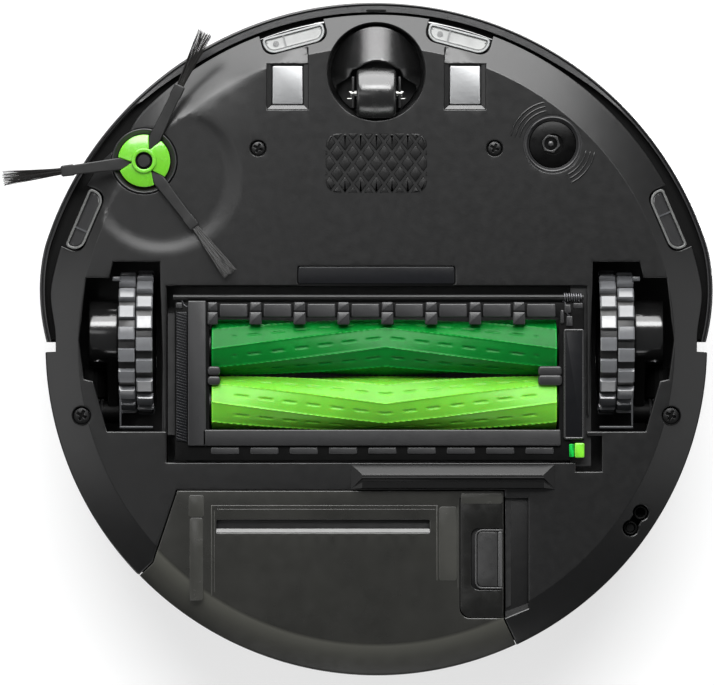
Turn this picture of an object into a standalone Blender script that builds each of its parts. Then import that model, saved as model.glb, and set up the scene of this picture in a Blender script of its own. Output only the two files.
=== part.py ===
"""Round robot vacuum that stands on two sprung drive wheels and a caster.

Metres, +Z up, with the floor at Z = 0.  The front faces -Y, so the robot's own left is +X.
Lengths below are in millimetres, and the mesh builders turn them into metres.  Plan positions
are measured from the axis of the round body.  Every object hangs from the empty "body_centre",
which stands the whole machine, its long side brush included, centred over the origin.
"""
import math

import bmesh
import bpy
from mathutils import Matrix, Vector

MM = 0.001
GAP = 0.3                       # room between pieces that touch

# Round body
BODY_CENTRE = (9.4, 3.3, 0.0)   # the body's axis, from the origin
BODY_RADIUS = 166.1
BODY_STEPS = 60                 # sides of the large round casings
BELLY_Z = 10.0
BELLY_RADIUS = 149.5            # here the flat belly turns up into the bevel
BEVEL_MID = (158.0, 13.8)
BEVEL_TOP_Z = 18.5
SHEET = 2.5
WALL_FOOT_Z = 21.0
WALL = 3.0
DECK_Z = 78.0                   # top of the inner deck
TOP_Z = 91.4
BUTTON_TOP_Z = 92.0

# Front bumper
BUMPER_ARC_RADIUS = 174.8
BUMPER_ARC_BACK = 2.1           # its arc's centre lies this far behind the body's axis
BUMPER_ARC_END = 73.0           # degrees from straight ahead where the arc starts to close in
BUMPER_END = 89.5
BUMPER_DEPTH = 4.8
BUMPER_WALL = 2.3
BUMPER_Z = (21.8, 77.5)
NOTCH_END_Y = 3.5               # the side walls behind the bumper start here
FRONT_WALL_RADIUS = 160.5

# Drive wheels
WHEEL_X = 120.6
WHEEL_Y = -1.4
WHEEL_RADIUS = 36.5
TYRE_WIDTH = 17.0
RIM_RADIUS = 28.7
AXLE_RADIUS = 3.0
GEARBOX_X = (129.6, 143.3)
GEARBOX_Y = -6.0
GEARBOX_RADIUS = 16.8
ARM_PIVOT_Y = 34.0
ARM_PIVOT_Z = 42.0
PIVOT_BARREL_RADIUS = 5.5

# Caster
CASTER_Y = -137.2
CASTER_TRAIL = 11.0
CASTER_RADIUS = 13.0
CASTER_WIDTH = 20.0
CASTER_WELL_RADIUS = 24.6
CASTER_FORK_RADIUS = 23.8

# Side brush
BRUSH_X = -116.4
BRUSH_Y = -92.3
BRUSH_HUB_RADIUS = 13.1
BRUSH_WELL_RADIUS = 16.5
BRUSH_REACH = 72.0
BRUSH_ARM_LENGTH = 42.0
BRUSH_ARM_Z = (7.2, 9.5)
BRUSH_ANGLES = (52.6, 172.8, 295.6)
BRISTLE_SECTIONS = (            # reach, half width, and lowest and highest Z
    (BRUSH_ARM_LENGTH + GAP, 2.0, 7.4, 9.2),
    (56.0, 2.9, 6.2, 8.2),
    (BRUSH_REACH, 4.2, 2.6, 4.6),
)

# Cleaning head
HEAD_X = (-105.4, 105.6)
HEAD_Y = (-29.7, 58.9)
HEAD_Z = (12.9, 36.5)
HEAD_WALL = 1.8
THROAT_X = (-60.0, 30.0)
THROAT_Z = (15.0, 33.0)
ROLLER_X = (-82.6, 90.5)
ROLLER_Y = {"front": 1.0, "rear": 29.4}
ROLLER_Z = 18.3
ROLLER_RADIUS = 13.9
CORE_RADIUS = 4.7
CORE_X = (-88.3, 96.8)
FRAME_HINGE_Y = -24.0
FRAME_HINGE_Z = 9.0
FRAME_Z = (6.5, 10.5)
FRAME_X = (-100.4, 104.4)
COMB_FIRST_X = -82.5
COMB_PITCH = 22.0
COMB_TEETH = 8
SPACER_TABS = {"right": (-85.0, -78.7), "left": (81.0, 92.5)}
SLOT_FIRST_X = -74.0
SLOT_PITCH = 19.6
SLOTS = 9

# Dust bin
BIN_FRONT_Y = 73.0
BIN_X = (-99.8, 63.8)
BIN_TOP_Z = 66.0
BIN_WALL = 2.0
BIN_MOUTH_X = (-58.0, 28.0)
DOOR_X = (42.1, 63.5)
DOOR_Y = (77.0, 136.5)
DOOR_HINGE_Z = 9.9
DOOR_SHEET = 2.0
DOOR_TAB_Y = (92.4, 122.2)

# Small parts on the belly
CONTACT_X = 44.5
CONTACT_Y = -130.4
CONTACT_SIZE = (15.3, 19.4)
LENS_RADIUS = 160.2             # distance of a cliff lens from the body's axis
LENS_SIZE = (32.0, 10.8)
LENS_ANGLES = {"front_right": 255.0, "front_left": 285.0, "side_right": 203.2, "side_left": 336.8}
SENSOR_PLACE = (88.4, -100.7)
SENSOR_RADIUS = 14.0
SCREWS = {
    "front_right": (-59.3, -98.8, 3.5),
    "front_left": (59.3, -98.8, 3.5),
    "rear_right": (-147.8, 35.3, 4.1),
    "rear_left": (147.8, 35.3, 4.1),
}
BLIND_HOLES = ((127.6, 91.8), (132.7, 84.1))
CHIPS = ((-30.0, -10.0, 16.0), (12.0, 20.0, 22.0), (38.0, -22.0, 14.0))  # corner and side

# Buttons on the top: plan X and radius
BUTTON_Y = -72.0
BUTTONS = {"clean": (0.0, 17.0), "home": (-36.0, 7.0), "spot": (36.0, 7.0)}

SIDES = {"left": 1, "right": -1}
SMOOTH_ANGLE = math.radians(35)

# Material name: colour, roughness, metallic
FINISHES = {
    "charcoal_plastic": ((0.035, 0.035, 0.036), 0.42, 0.0),
    "black_plastic": ((0.012, 0.012, 0.013), 0.38, 0.0),
    "gloss_black": ((0.008, 0.008, 0.009), 0.12, 0.0),
    "smoky_plastic": ((0.045, 0.045, 0.043), 0.2, 0.0),
    "bumper_plastic": ((0.05, 0.05, 0.052), 0.35, 0.0),
    "tyre_rubber": ((0.06, 0.062, 0.066), 0.55, 0.0),
    "grey_plastic": ((0.16, 0.17, 0.18), 0.45, 0.0),
    "contact_metal": ((0.62, 0.63, 0.65), 0.28, 1.0),
    "steel": ((0.45, 0.45, 0.46), 0.3, 1.0),
    "clear_lens": ((0.75, 0.77, 0.78), 0.08, 0.0),
    "lime_plastic": ((0.18, 0.62, 0.06), 0.3, 0.0),
    "green_rubber": ((0.0, 0.15, 0.03), 0.5, 0.0),
    "lime_rubber": ((0.13, 0.48, 0.03), 0.5, 0.0),
    "bristle_nylon": ((0.03, 0.03, 0.03), 0.5, 0.0),
    "filter_paper": ((0.75, 0.73, 0.66), 0.9, 0.0),
    "circuit_board": ((0.02, 0.16, 0.07), 0.5, 0.0),
    "light_diffuser": ((0.8, 0.82, 0.84), 0.4, 0.0),
}

# Where each body's joint axis passes, from the body's axis and the floor
PIVOTS = {
    "chassis": (0.0, 0.0, 0.0),
    "bumper": (0.0, -BUMPER_ARC_RADIUS + BUMPER_ARC_BACK, 50.0),
    "caster_swivel": (0.0, CASTER_Y, 25.0),
    "caster_roll": (0.0, CASTER_Y + CASTER_TRAIL, CASTER_RADIUS),
    "side_brush": (BRUSH_X, BRUSH_Y, 8.0),
    "front_roller": (0.0, ROLLER_Y["front"], ROLLER_Z),
    "rear_roller": (0.0, ROLLER_Y["rear"], ROLLER_Z),
    "roller_frame": (0.0, FRAME_HINGE_Y, FRAME_HINGE_Z),
    "frame_tab": (101.7, 52.6, 8.0),
    "dust_bin": (0.0, BIN_FRONT_Y, 40.0),
    "bin_door": (DOOR_X[0], DOOR_Y[0], DOOR_HINGE_Z),
    "door_tab": (56.0, 107.3, 10.5),
    "impeller": (96.0, 97.2, 30.0),
}
for side, sign in SIDES.items():
    PIVOTS["arm_" + side] = (sign * WHEEL_X, ARM_PIVOT_Y, ARM_PIVOT_Z)
    PIVOTS["wheel_" + side] = (sign * WHEEL_X, WHEEL_Y, WHEEL_RADIUS)
for button, (button_x, _) in BUTTONS.items():
    PIVOTS[button + "_button"] = (button_x, BUTTON_Y, BUTTON_TOP_Z)

TURN_TO_AXIS = {
    "X": Matrix.Rotation(math.pi / 2, 4, "Y"),
    "Y": Matrix.Rotation(-math.pi / 2, 4, "X"),
    "Z": Matrix.Identity(4),
}


# Outlines: lists of plan points

def arc(radius, start, end, steps, centre=(0.0, 0.0)):
    """Points along a round stretch; start and end are in degrees."""
    points = []
    for step in range(steps + 1):
        angle = math.radians(start + (end - start) * step / steps)
        points.append((centre[0] + radius * math.cos(angle), centre[1] + radius * math.sin(angle)))
    return points


def rectangle(x_range, y_range):
    (x0, x1), (y0, y1) = x_range, y_range
    return [(x0, y0), (x1, y0), (x1, y1), (x0, y1)]


def rounded_rectangle(x_range, y_range, radius, steps=4):
    (x0, x1), (y0, y1) = x_range, y_range
    return (
        arc(radius, 180, 270, steps, (x0 + radius, y0 + radius))
        + arc(radius, 270, 360, steps, (x1 - radius, y0 + radius))
        + arc(radius, 0, 90, steps, (x1 - radius, y1 - radius))
        + arc(radius, 90, 180, steps, (x0 + radius, y1 - radius))
    )


def ring_sector(inner, outer, start, end, steps=36):
    return arc(outer, start, end, steps) + arc(inner, end, start, steps)


def offset_outline(points, distance):
    """Move every side of an anticlockwise outline inwards; a negative distance moves it out."""
    moved = []
    for index, point in enumerate(points):
        here = Vector(point)
        before = (here - Vector(points[index - 1])).normalized()
        after = (Vector(points[(index + 1) % len(points)]) - here).normalized()
        inward = Vector((-before.y - after.y, before.x + after.x)).normalized()
        shift = distance / max(inward.dot(Vector((-before.y, before.x))), 0.2)
        moved.append(tuple(here + inward * shift))
    return moved


# Mesh builders

def clear_scene():
    for item in list(bpy.data.objects):
        bpy.data.objects.remove(item, do_unlink=True)


def make_material(name):
    if name in bpy.data.materials:
        return bpy.data.materials[name]
    colour, roughness, metallic = FINISHES[name]
    material = bpy.data.materials.new(name)
    material.use_nodes = True
    shader = material.node_tree.nodes["Principled BSDF"]
    shader.inputs["Base Color"].default_value = (*colour, 1.0)
    shader.inputs["Roughness"].default_value = roughness
    shader.inputs["Metallic"].default_value = metallic
    return material


def make_pivots():
    """One empty on the body's axis, and under it one on each joint's axis."""
    centre = bpy.data.objects.new("body_centre", None)
    bpy.context.collection.objects.link(centre)
    centre.location = Vector(BODY_CENTRE) * MM
    for name, place in PIVOTS.items():
        empty = bpy.data.objects.new("pivot_" + name, None)
        bpy.context.collection.objects.link(empty)
        empty.parent = centre
        empty.location = Vector(place) * MM


def finish(name, bm, material, pivot="chassis"):
    """Make an object, hung from its pivot, of a bmesh in millimetres from the body's axis."""
    bmesh.ops.transform(bm, matrix=Matrix.Scale(MM, 4), verts=bm.verts)
    bmesh.ops.recalc_face_normals(bm, faces=bm.faces)
    mesh = bpy.data.meshes.new(name)
    bm.to_mesh(mesh)
    bm.free()
    mesh.materials.append(make_material(material))
    mesh.shade_smooth()
    mesh.set_sharp_from_angle(angle=SMOOTH_ANGLE)
    item = bpy.data.objects.new(name, mesh)
    bpy.context.collection.objects.link(item)
    item.parent = bpy.data.objects["pivot_" + pivot]
    item.location = -Vector(PIVOTS[pivot]) * MM
    return item


def skin(name, loops, material, pivot="chassis", place=None):
    """Bridge loops of the same count, one after another, and cap both ends."""
    bm = bmesh.new()
    rings = [[bm.verts.new(point) for point in loop] for loop in loops]
    count = len(loops[0])
    for ring, after in zip(rings, rings[1:]):
        for index in range(count):
            other = (index + 1) % count
            bm.faces.new((ring[index], ring[other], after[other], after[index]))
    bm.faces.new(reversed(rings[0]))
    bm.faces.new(rings[-1])
    if place is not None:
        bmesh.ops.transform(bm, matrix=place, verts=bm.verts)
    return finish(name, bm, material, pivot)


def prism(name, outline, z_range, material, pivot="chassis", place=None):
    loops = [[(x, y, z) for x, y in outline] for z in z_range]
    return skin(name, loops, material, pivot, place)


def block(name, x_range, y_range, z_range, material, pivot="chassis"):
    return prism(name, rectangle(x_range, y_range), z_range, material, pivot)


def lathe(name, profile, material, pivot="chassis", centre=(0, 0, 0), axis="Z", steps=28):
    """Turn a profile of (radius, height) points; one that starts on the axis also ends there."""
    bm = bmesh.new()
    verts = [bm.verts.new((radius, 0, height)) for radius, height in profile]
    edges = [bm.edges.new(pair) for pair in zip(verts, verts[1:])]
    if profile[0][0] > 0:
        edges.append(bm.edges.new((verts[-1], verts[0])))
    bmesh.ops.spin(
        bm, geom=verts + edges, cent=(0, 0, 0), axis=(0, 0, 1),
        angle=2 * math.pi, steps=steps, use_merge=True,
    )
    bmesh.ops.remove_doubles(bm, verts=bm.verts, dist=1e-4)
    place = Matrix.Translation(Vector(centre)) @ TURN_TO_AXIS[axis]
    bmesh.ops.transform(bm, matrix=place, verts=bm.verts)
    return finish(name, bm, material, pivot)


def cylinder(name, radius, length_range, centre, material, pivot="chassis", axis="Z", steps=28):
    low, high = length_range
    profile = [(0, low), (radius, low), (radius, high), (0, high)]
    return lathe(name, profile, material, pivot, centre, axis, steps)


def tube(name, inner, outer, length_range, centre, material, pivot="chassis", axis="Z", steps=28):
    low, high = length_range
    profile = [(inner, low), (outer, low), (outer, high), (inner, high)]
    return lathe(name, profile, material, pivot, centre, axis, steps)


def combine(target, tools, operation):
    for tool in tools:
        tool.hide_render = True
        tool.display_type = "WIRE"
        modifier = target.modifiers.new(operation.lower() + "_" + tool.name, "BOOLEAN")
        modifier.operation = operation
        modifier.object = tool


def cut(target, *tools):
    combine(target, tools, "DIFFERENCE")


def fuse(target, *tools):
    combine(target, tools, "UNION")


# Shapes that several parts share

def belly_profile(drop=0.0):
    """Radius and height along the underside, from the axis to the rim."""
    return [
        (0.0, BELLY_Z + drop),
        (BELLY_RADIUS - drop / 4, BELLY_Z + drop),
        (BEVEL_MID[0] - drop / 4, BEVEL_MID[1] + drop),
        (BODY_RADIUS, BEVEL_TOP_Z + drop),
    ]


def bin_outline():
    """Anticlockwise, with the rear stretch running outside the round body."""
    return [
        (BIN_X[0], BIN_FRONT_Y), (BIN_X[1], BIN_FRONT_Y), (BIN_X[1], 137.4), (70.3, 150.8),
        (80.0, 171.0), (-40.0, 200.0), (-126.0, 122.5), (-111.9, 109.2),
    ]


def wheel_well_outline(sign):
    corners = [
        (108.6, -41.8), (132.0, -41.8), (134.0, -33.7), (145.6, -33.7), (149.2, -2.5),
        (146.6, 17.1), (142.1, 18.1), (135.0, 43.3), (106.6, 43.3),
    ]
    return [(sign * x, y) for x, y in corners][::sign]


def lens_place(angle, z):
    """Lays a shape along the bevel, its local Y pointing out from the body's axis."""
    across = math.radians(angle)
    spot = Vector((LENS_RADIUS * math.cos(across), LENS_RADIUS * math.sin(across), z))
    return Matrix.Translation(spot) @ Matrix.Rotation(across - math.pi / 2, 4, "Z")


def bumper_radius(angle):
    """Distance of the bumper's outer face from the body's axis, by degrees from straight ahead."""
    turn = math.radians(min(abs(angle), BUMPER_ARC_END))
    radius = BUMPER_ARC_RADIUS - BUMPER_ARC_BACK * math.cos(turn)
    closing = max(abs(angle) - BUMPER_ARC_END, 0.0) / (BUMPER_END - BUMPER_ARC_END)
    return radius - (radius - BODY_RADIUS) * closing ** 1.6


# Casings

def bottom_cover():
    """The flat belly and its bevel, cut for everything that looks or works through it."""
    outer = belly_profile()
    inner = belly_profile(SHEET)
    inner[-1] = (BODY_RADIUS, BEVEL_TOP_Z + 2.0)
    cover = lathe("bottom_cover", outer + inner[::-1], "charcoal_plastic", steps=BODY_STEPS)
    through = (2.0, 30.0)
    tool = "black_plastic"
    cut(
        cover,
        cylinder("well_caster", CASTER_WELL_RADIUS, through, (0, CASTER_Y, 0), tool, steps=36),
        cylinder("well_brush", BRUSH_WELL_RADIUS, through, (BRUSH_X, BRUSH_Y, 0), tool, steps=28),
        prism("bay_head", rectangle(HEAD_X, HEAD_Y), through, tool),
        prism("bay_latch", rectangle((100.0, 113.1), (45.4, 63.4)), through, tool),
        prism("bay_bin", offset_outline(bin_outline(), -0.4), through, tool),
        prism("pocket_label", rectangle((-39.6, 39.6), (-39.6, -30.4)), (2.0, 11.3), tool),
        prism("pocket_finger", rectangle((65.6, 76.4), (76.5, 132.4)), (2.0, 11.4), tool),
        brush_dish(),
    )
    for side, sign in SIDES.items():
        x = sign * CONTACT_X
        cut(
            cover,
            prism("well_wheel_" + side, wheel_well_outline(sign), through, tool),
            prism("window_contact_" + side, contact_outline(x, 0.4), through, tool),
        )
    for name, angle in LENS_ANGLES.items():
        slot = rounded_rectangle((-16.6, 16.6), (-6.0, 16.0), 5.6)
        cut(cover, prism("slot_lens_" + name, slot, through, tool, place=lens_place(angle, 0.0)))
    for name, (x, y, head) in SCREWS.items():
        cut(cover, cylinder("hole_screw_" + name, head + 0.5, through, (x, y, 0), tool, steps=16))
    cut(cover, cylinder("hole_sensor", SENSOR_RADIUS + 0.4, through, (*SENSOR_PLACE, 0), tool))
    for index, (x, y) in enumerate(BLIND_HOLES):
        cut(cover, cylinder("blind_hole_%d" % index, 3.4, (2.0, 11.6), (x, y, 0), tool, steps=16))
    return cover


def brush_dish():
    """A shallow dish that the side brush turns in."""
    profile = [(0, 2.0), (40.0, 2.0), (39.0, BELLY_Z), (33.0, 11.2), (0, 11.2)]
    return lathe("dish_brush", profile, "black_plastic", centre=(-107.4, -85.0, 0), steps=32)


def contact_outline(x, room=0.0):
    width, length = CONTACT_SIZE
    half_x = width / 2 + room
    half_y = length / 2 + room
    return rectangle((x - half_x, x + half_x), (CONTACT_Y - half_y, CONTACT_Y + half_y))


def chassis_frame():
    """Deck, side walls, and the bulkhead and walls of the bin's bay, hanging from the deck."""
    under_deck = DECK_Z - SHEET
    profile = [
        (0, DECK_Z), (BODY_RADIUS, DECK_Z), (BODY_RADIUS, WALL_FOOT_Z),
        (FRONT_WALL_RADIUS - SHEET, WALL_FOOT_Z), (FRONT_WALL_RADIUS - SHEET, under_deck),
        (0, under_deck),
    ]
    frame = lathe("chassis_frame", profile, "black_plastic", steps=BODY_STEPS)
    lean = math.degrees(math.asin(NOTCH_END_Y / BODY_RADIUS))
    front = ring_sector(FRONT_WALL_RADIUS, 190.0, 180 - lean, 360 + lean)
    back = ring_sector(150.0, BODY_RADIUS - WALL, 5.0, 175.0)
    tool = "black_plastic"
    cut(
        frame,
        prism("room_bumper", front, (15.0, 90.0), tool),
        prism("room_rear", back, (15.0, under_deck), tool),
        cylinder("room_caster", 27.0, (15.0, 35.5), (0, CASTER_Y, 0), tool),
    )
    bulkhead = block("wall_bulkhead", (-130.0, 130.0), (69.8, 72.4), (12.9, DECK_Z - 1.0), tool)
    left = block("wall_bin_left", (65.0, 67.5), (71.0, 137.0), (12.9, DECK_Z - 1.0), tool)
    slant = [(-101.4, 71.0), (-113.3, 108.8), (-115.9, 108.0), (-104.1, 71.0)]
    right = prism("wall_bin_right", slant, (12.9, DECK_Z - 1.0), tool)
    fuse(frame, bulkhead, left, right)
    bay = prism("bay_bin_rear", offset_outline(bin_outline(), -0.5), (5.0, BIN_TOP_Z + 0.5), tool)
    throat = block("hole_throat", THROAT_X, (66.0, 75.0), THROAT_Z, tool)
    bevel = lathe("room_bevel", [(147.0, 5.0), (172.0, 5.0), (172.0, 20.9), (BODY_RADIUS, 20.9),
                                 (157.0, 16.8), (147.0, 12.8)], tool, steps=BODY_STEPS)
    cut(frame, bay, throat, bevel)
    return frame


def top_cover():
    profile = [
        (0, TOP_Z), (152.0, TOP_Z), (160.0, 89.7), (164.6, 85.8), (BODY_RADIUS, 80.8),
        (BODY_RADIUS, DECK_Z + GAP), (163.2, DECK_Z + GAP), (162.0, 84.2), (157.6, 87.4),
        (150.0, TOP_Z - SHEET), (0, TOP_Z - SHEET),
    ]
    cover = lathe("top_cover", profile, "charcoal_plastic", steps=BODY_STEPS)
    for name, (x, radius) in BUTTONS.items():
        room = 4.2 if name == "clean" else 0.5
        hole = cylinder(
            "hole_%s_button" % name, radius + room, (80.0, 99.0), (x, BUTTON_Y, 0), "black_plastic"
        )
        cut(cover, hole)
    return cover


def front_bumper():
    """A curved cross-section, as insets and heights, swept round the front."""
    low, high = BUMPER_Z
    section = [
        (BUMPER_DEPTH, low), (1.0, low), (0.0, low + 2.4), (0.0, 62.0), (1.6, 71.0),
        (BUMPER_DEPTH, high), (BUMPER_DEPTH, high - 2.2), (1.6 + BUMPER_WALL, 70.6),
        (BUMPER_WALL, 62.0), (BUMPER_WALL, low + 2.4), (BUMPER_DEPTH, low + 2.2),
    ]
    steps = 48
    loops = []
    for step in range(steps + 1):
        angle = BUMPER_END * (2 * step / steps - 1)
        turn = math.radians(angle)
        loop = []
        for inset, z in section:
            radius = bumper_radius(angle) - inset
            loop.append((radius * math.sin(turn), -radius * math.cos(turn), z))
        loops.append(loop)
    return skin("front_bumper", loops, "bumper_plastic", "bumper")


# Drive wheels

def on_side(sign, near, far):
    """An X range on one side of the machine, lowest first."""
    return tuple(sorted((sign * near, sign * far)))


def wheel_unit(side, sign):
    """Swing arm with gearbox and output shaft, its motor and spring, and the wheel it carries."""
    arm = "arm_" + side
    wheel = "wheel_" + side
    gearbox = cylinder(
        "wheel_gearbox_" + side, GEARBOX_RADIUS, on_side(sign, *GEARBOX_X),
        (0, GEARBOX_Y, WHEEL_RADIUS), "gloss_black", arm, "X", 28,
    )
    shaft_place = (0, WHEEL_Y, WHEEL_RADIUS)
    pivot_place = (0, ARM_PIVOT_Y, ARM_PIVOT_Z)
    fuse(
        gearbox,
        block("arm_bar_" + side, on_side(sign, 130.0, 136.0), (GEARBOX_Y, ARM_PIVOT_Y), (36.0, 44.0),
              "gloss_black", arm),
        cylinder("arm_barrel_" + side, PIVOT_BARREL_RADIUS, on_side(sign, 129.8, 147.0), pivot_place,
                 "gloss_black", arm, "X", 24),
        cylinder("arm_shaft_" + side, AXLE_RADIUS, on_side(sign, 115.0, 131.0), shaft_place,
                 "steel", arm, "X", 16),
    )
    cylinder("drive_motor_" + side, 8.5, (11.4, 26.2), (sign * 145.2, 0, 46.0), "steel", arm, "Y", 24)
    suspension_spring(side, sign, arm)
    half = TYRE_WIDTH / 2
    tyre = [
        (RIM_RADIUS + GAP, -half), (WHEEL_RADIUS - 1.2, -half), (WHEEL_RADIUS, -half + 1.0),
        (WHEEL_RADIUS, half - 1.0), (WHEEL_RADIUS - 1.2, half), (RIM_RADIUS + GAP, half),
    ]
    hub = (sign * WHEEL_X, WHEEL_Y, WHEEL_RADIUS)
    lathe("tyre_" + side, tyre, "tyre_rubber", wheel, hub, "X", 40)
    rim = [
        (AXLE_RADIUS + GAP, -3.0), (24.0, -3.0), (25.5, -7.5), (RIM_RADIUS, -7.5),
        (RIM_RADIUS, 7.5), (25.5, 7.5), (24.0, 3.0), (AXLE_RADIUS + GAP, 3.0),
    ]
    lathe("wheel_rim_" + side, rim, "black_plastic", wheel, hub, "X", 32)


def suspension_spring(side, sign, pivot):
    """A torsion spring coiled round the arm's pivot barrel."""
    turns = 4
    steps = 9
    start = 137.6
    pitch = 2.0
    coil_radius = 6.7
    curve = bpy.data.curves.new("suspension_spring_" + side, "CURVE")
    curve.dimensions = "3D"
    curve.bevel_depth = 0.6 * MM
    curve.bevel_resolution = 0
    curve.use_fill_caps = True
    spline = curve.splines.new("POLY")
    spline.points.add(turns * steps)
    for index, point in enumerate(spline.points):
        angle = 2 * math.pi * index / steps
        x = sign * (start + pitch * index / steps) - PIVOTS[pivot][0]
        point.co = (x * MM, coil_radius * math.cos(angle) * MM, coil_radius * math.sin(angle) * MM, 1)
    curve.materials.append(make_material("steel"))
    spring = bpy.data.objects.new("suspension_spring_" + side, curve)
    bpy.context.collection.objects.link(spring)
    spring.parent = bpy.data.objects["pivot_" + pivot]


# Caster

def caster():
    wheel_y = CASTER_Y + CASTER_TRAIL
    axle_place = (0, wheel_y, CASTER_RADIUS)
    swivel_place = (0, CASTER_Y, 0)
    half = CASTER_WIDTH / 2
    fork = cylinder("caster_fork", CASTER_FORK_RADIUS, (7.0, 30.0), swivel_place, "gloss_black",
                    "caster_swivel", steps=32)
    hood = cylinder("shape_hood", 21.5, (-170.0, -100.0), (0, 0, 28.6), "gloss_black", axis="Y",
                    steps=40)
    combine(fork, [hood], "INTERSECT")
    fuse(fork, cylinder("shape_stem", 4.0, (29.0, 41.0), swivel_place, "gloss_black", steps=20))
    room = half + 0.8
    cut(
        fork,
        cylinder("room_caster_wheel", CASTER_RADIUS + 1.2, (-room, room), axle_place,
                 "gloss_black", axis="X"),
        cylinder("bore_caster_axle", 1.8, (-20.0, 20.0), axle_place, "steel", axis="X", steps=16),
    )
    cylinder("caster_axle", 1.5, (-15.5, 15.5), axle_place, "steel", "caster_swivel", "X", 16)
    profile = [
        (1.8, -half), (10.8, -half), (12.4, -5.4), (CASTER_RADIUS, -1.5), (CASTER_RADIUS, 1.5),
        (12.4, 5.4), (10.8, half), (1.8, half),
    ]
    lathe("caster_wheel", profile, "gloss_black", "caster_roll", axle_place, "X", 28)
    socket = [
        (CASTER_WELL_RADIUS, 20.8), (26.3, 20.8), (26.3, 34.6), (4.3, 34.6), (4.3, 31.6),
        (CASTER_WELL_RADIUS, 31.6),
    ]
    lathe("caster_socket", socket, "black_plastic", centre=swivel_place)


# Side brush

def side_brush():
    place = (BRUSH_X, BRUSH_Y, 0)
    pivot = "side_brush"
    arm_low, arm_high = BRUSH_ARM_Z
    hub = [
        (3.4, 4.8), (6.2, 4.8), (6.8, 5.6), (BRUSH_HUB_RADIUS - 0.8, 5.6), (BRUSH_HUB_RADIUS, 6.2),
        (BRUSH_HUB_RADIUS, arm_low - GAP), (5.0, arm_low - GAP), (5.0, 22.0), (1.5, 22.0),
        (1.5, 9.0), (3.4, 9.0),
    ]
    lathe("side_brush_hub", hub, "lime_plastic", pivot, place, steps=24)
    screw = [(0, 5.6), (3.1, 5.6), (3.1, 8.6), (1.2, 8.6), (1.2, 19.0), (0, 19.0)]
    lathe("side_brush_screw", screw, "steel", pivot, place, steps=12)
    arms = tube("side_brush_arms", 5.4, 12.4, BRUSH_ARM_Z, place, "bristle_nylon", pivot, steps=24)
    for index, angle in enumerate(BRUSH_ANGLES):
        turn = Matrix.Translation(Vector(place)) @ Matrix.Rotation(math.radians(angle), 4, "Z")
        bar = rectangle((9.0, BRUSH_ARM_LENGTH), (-2.6, 2.6))
        fuse(arms, prism("brush_arm_%d" % index, bar, BRUSH_ARM_Z, "bristle_nylon", place=turn))
        bristle_bundle(index, turn)


def bristle_bundle(index, turn):
    """A flat tuft that leaves the arm's end, fans out and droops."""
    loops = []
    for reach, half, low, high in BRISTLE_SECTIONS:
        loops.append([(reach, -half, low), (reach, half, low), (reach, half, high), (reach, -half, high)])
    skin("bristle_bundle_%d" % (index + 1), loops, "bristle_nylon", "side_brush", turn)


# Cleaning head

def cleaning_head_housing():
    """A hood over the rollers, with bearing block and a duct back to the bin."""
    outer_x = (HEAD_X[0] - 2.1, HEAD_X[1] + 2.1)
    outer_y = (HEAD_Y[0] - HEAD_WALL, HEAD_Y[1] + HEAD_WALL)
    tool = "black_plastic"
    hood = block("cleaning_head_housing", outer_x, outer_y, HEAD_Z, tool)
    duct_x = (THROAT_X[0] - 1.5, THROAT_X[1] + 1.5)
    fuse(hood, block("duct_outside", duct_x, (HEAD_Y[1], 69.4), (13.2, THROAT_Z[1] + 1.5), tool))
    cut(
        hood,
        block("room_rollers", (-105.2, 97.4), HEAD_Y, (5.0, HEAD_Z[1] - 2.0), tool),
        block("duct_inside", THROAT_X, (50.0, 75.0), THROAT_Z, tool),
    )
    return hood


def rollers():
    for name, y in ROLLER_Y.items():
        rubber = "green_rubber" if name == "front" else "lime_rubber"
        pivot = name + "_roller"
        place = (0, y, ROLLER_Z)
        tube(pivot, CORE_RADIUS + GAP, ROLLER_RADIUS, ROLLER_X, place, rubber, pivot, "X", 32)
        cylinder(pivot + "_core", CORE_RADIUS, CORE_X, place, "black_plastic", pivot, "X", 16)


def roller_drive():
    """Gearbox that the cores plug into, and the motor that stands on the hood."""
    block("roller_gearbox", (-104.6, -88.9), (-16.0, 45.0), (11.2, 34.0), "black_plastic")
    cylinder("roller_motor", 14.0, (-98.0, -52.0), (0, 10.0, 51.0), "steel", axis="X", steps=28)


def roller_frame():
    """The cage that keeps the rollers in, hinged along its front rod."""
    low, high = FRAME_Z
    pivot = "roller_frame"
    tool = "black_plastic"
    outline = [
        (FRAME_X[0], -23.2), (FRAME_X[1] - 3.0, -23.2), (FRAME_X[1], -20.0), (FRAME_X[1], 47.6),
        (98.0, 47.6), (98.0, 57.8), (FRAME_X[0], 57.8),
    ]
    frame = prism("roller_frame", outline, FRAME_Z, tool, pivot)
    hinge = (0, FRAME_HINGE_Y, FRAME_HINGE_Z)
    fuse(frame, cylinder("frame_rod", 1.4, (-101.2, 104.0), hinge, tool, axis="X", steps=16))
    cut(frame, block("frame_window", (-83.5, 91.4), (-14.1, 42.5), (2.0, 14.0), tool))
    for index in range(COMB_TEETH):
        x = COMB_FIRST_X + COMB_PITCH * index
        tooth_x = (max(x - 3.05, -83.6), x + 3.05)
        fuse(frame, block("comb_tooth_%d" % index, tooth_x, (-15.0, -11.2), (low, low + 2.0), tool))
    for name, tab_x in SPACER_TABS.items():
        fuse(frame, block("roller_spacer_" + name, tab_x, (12.1, 18.3), (low, low + 2.0), tool))
    for index in range(SLOTS):
        x = SLOT_FIRST_X + SLOT_PITCH * index
        cut(frame, block("frame_slot_%d" % index, (x - 6.9, x + 6.9), (51.0, 54.5), (2.0, 14.0), tool))
    tab = rectangle((99.5, 104.0), (49.1, 56.3))
    prism("frame_release_tab", tab, (low - 0.7, high - 0.3), "lime_plastic", "frame_tab")
    return frame


# Dust bin

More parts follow.
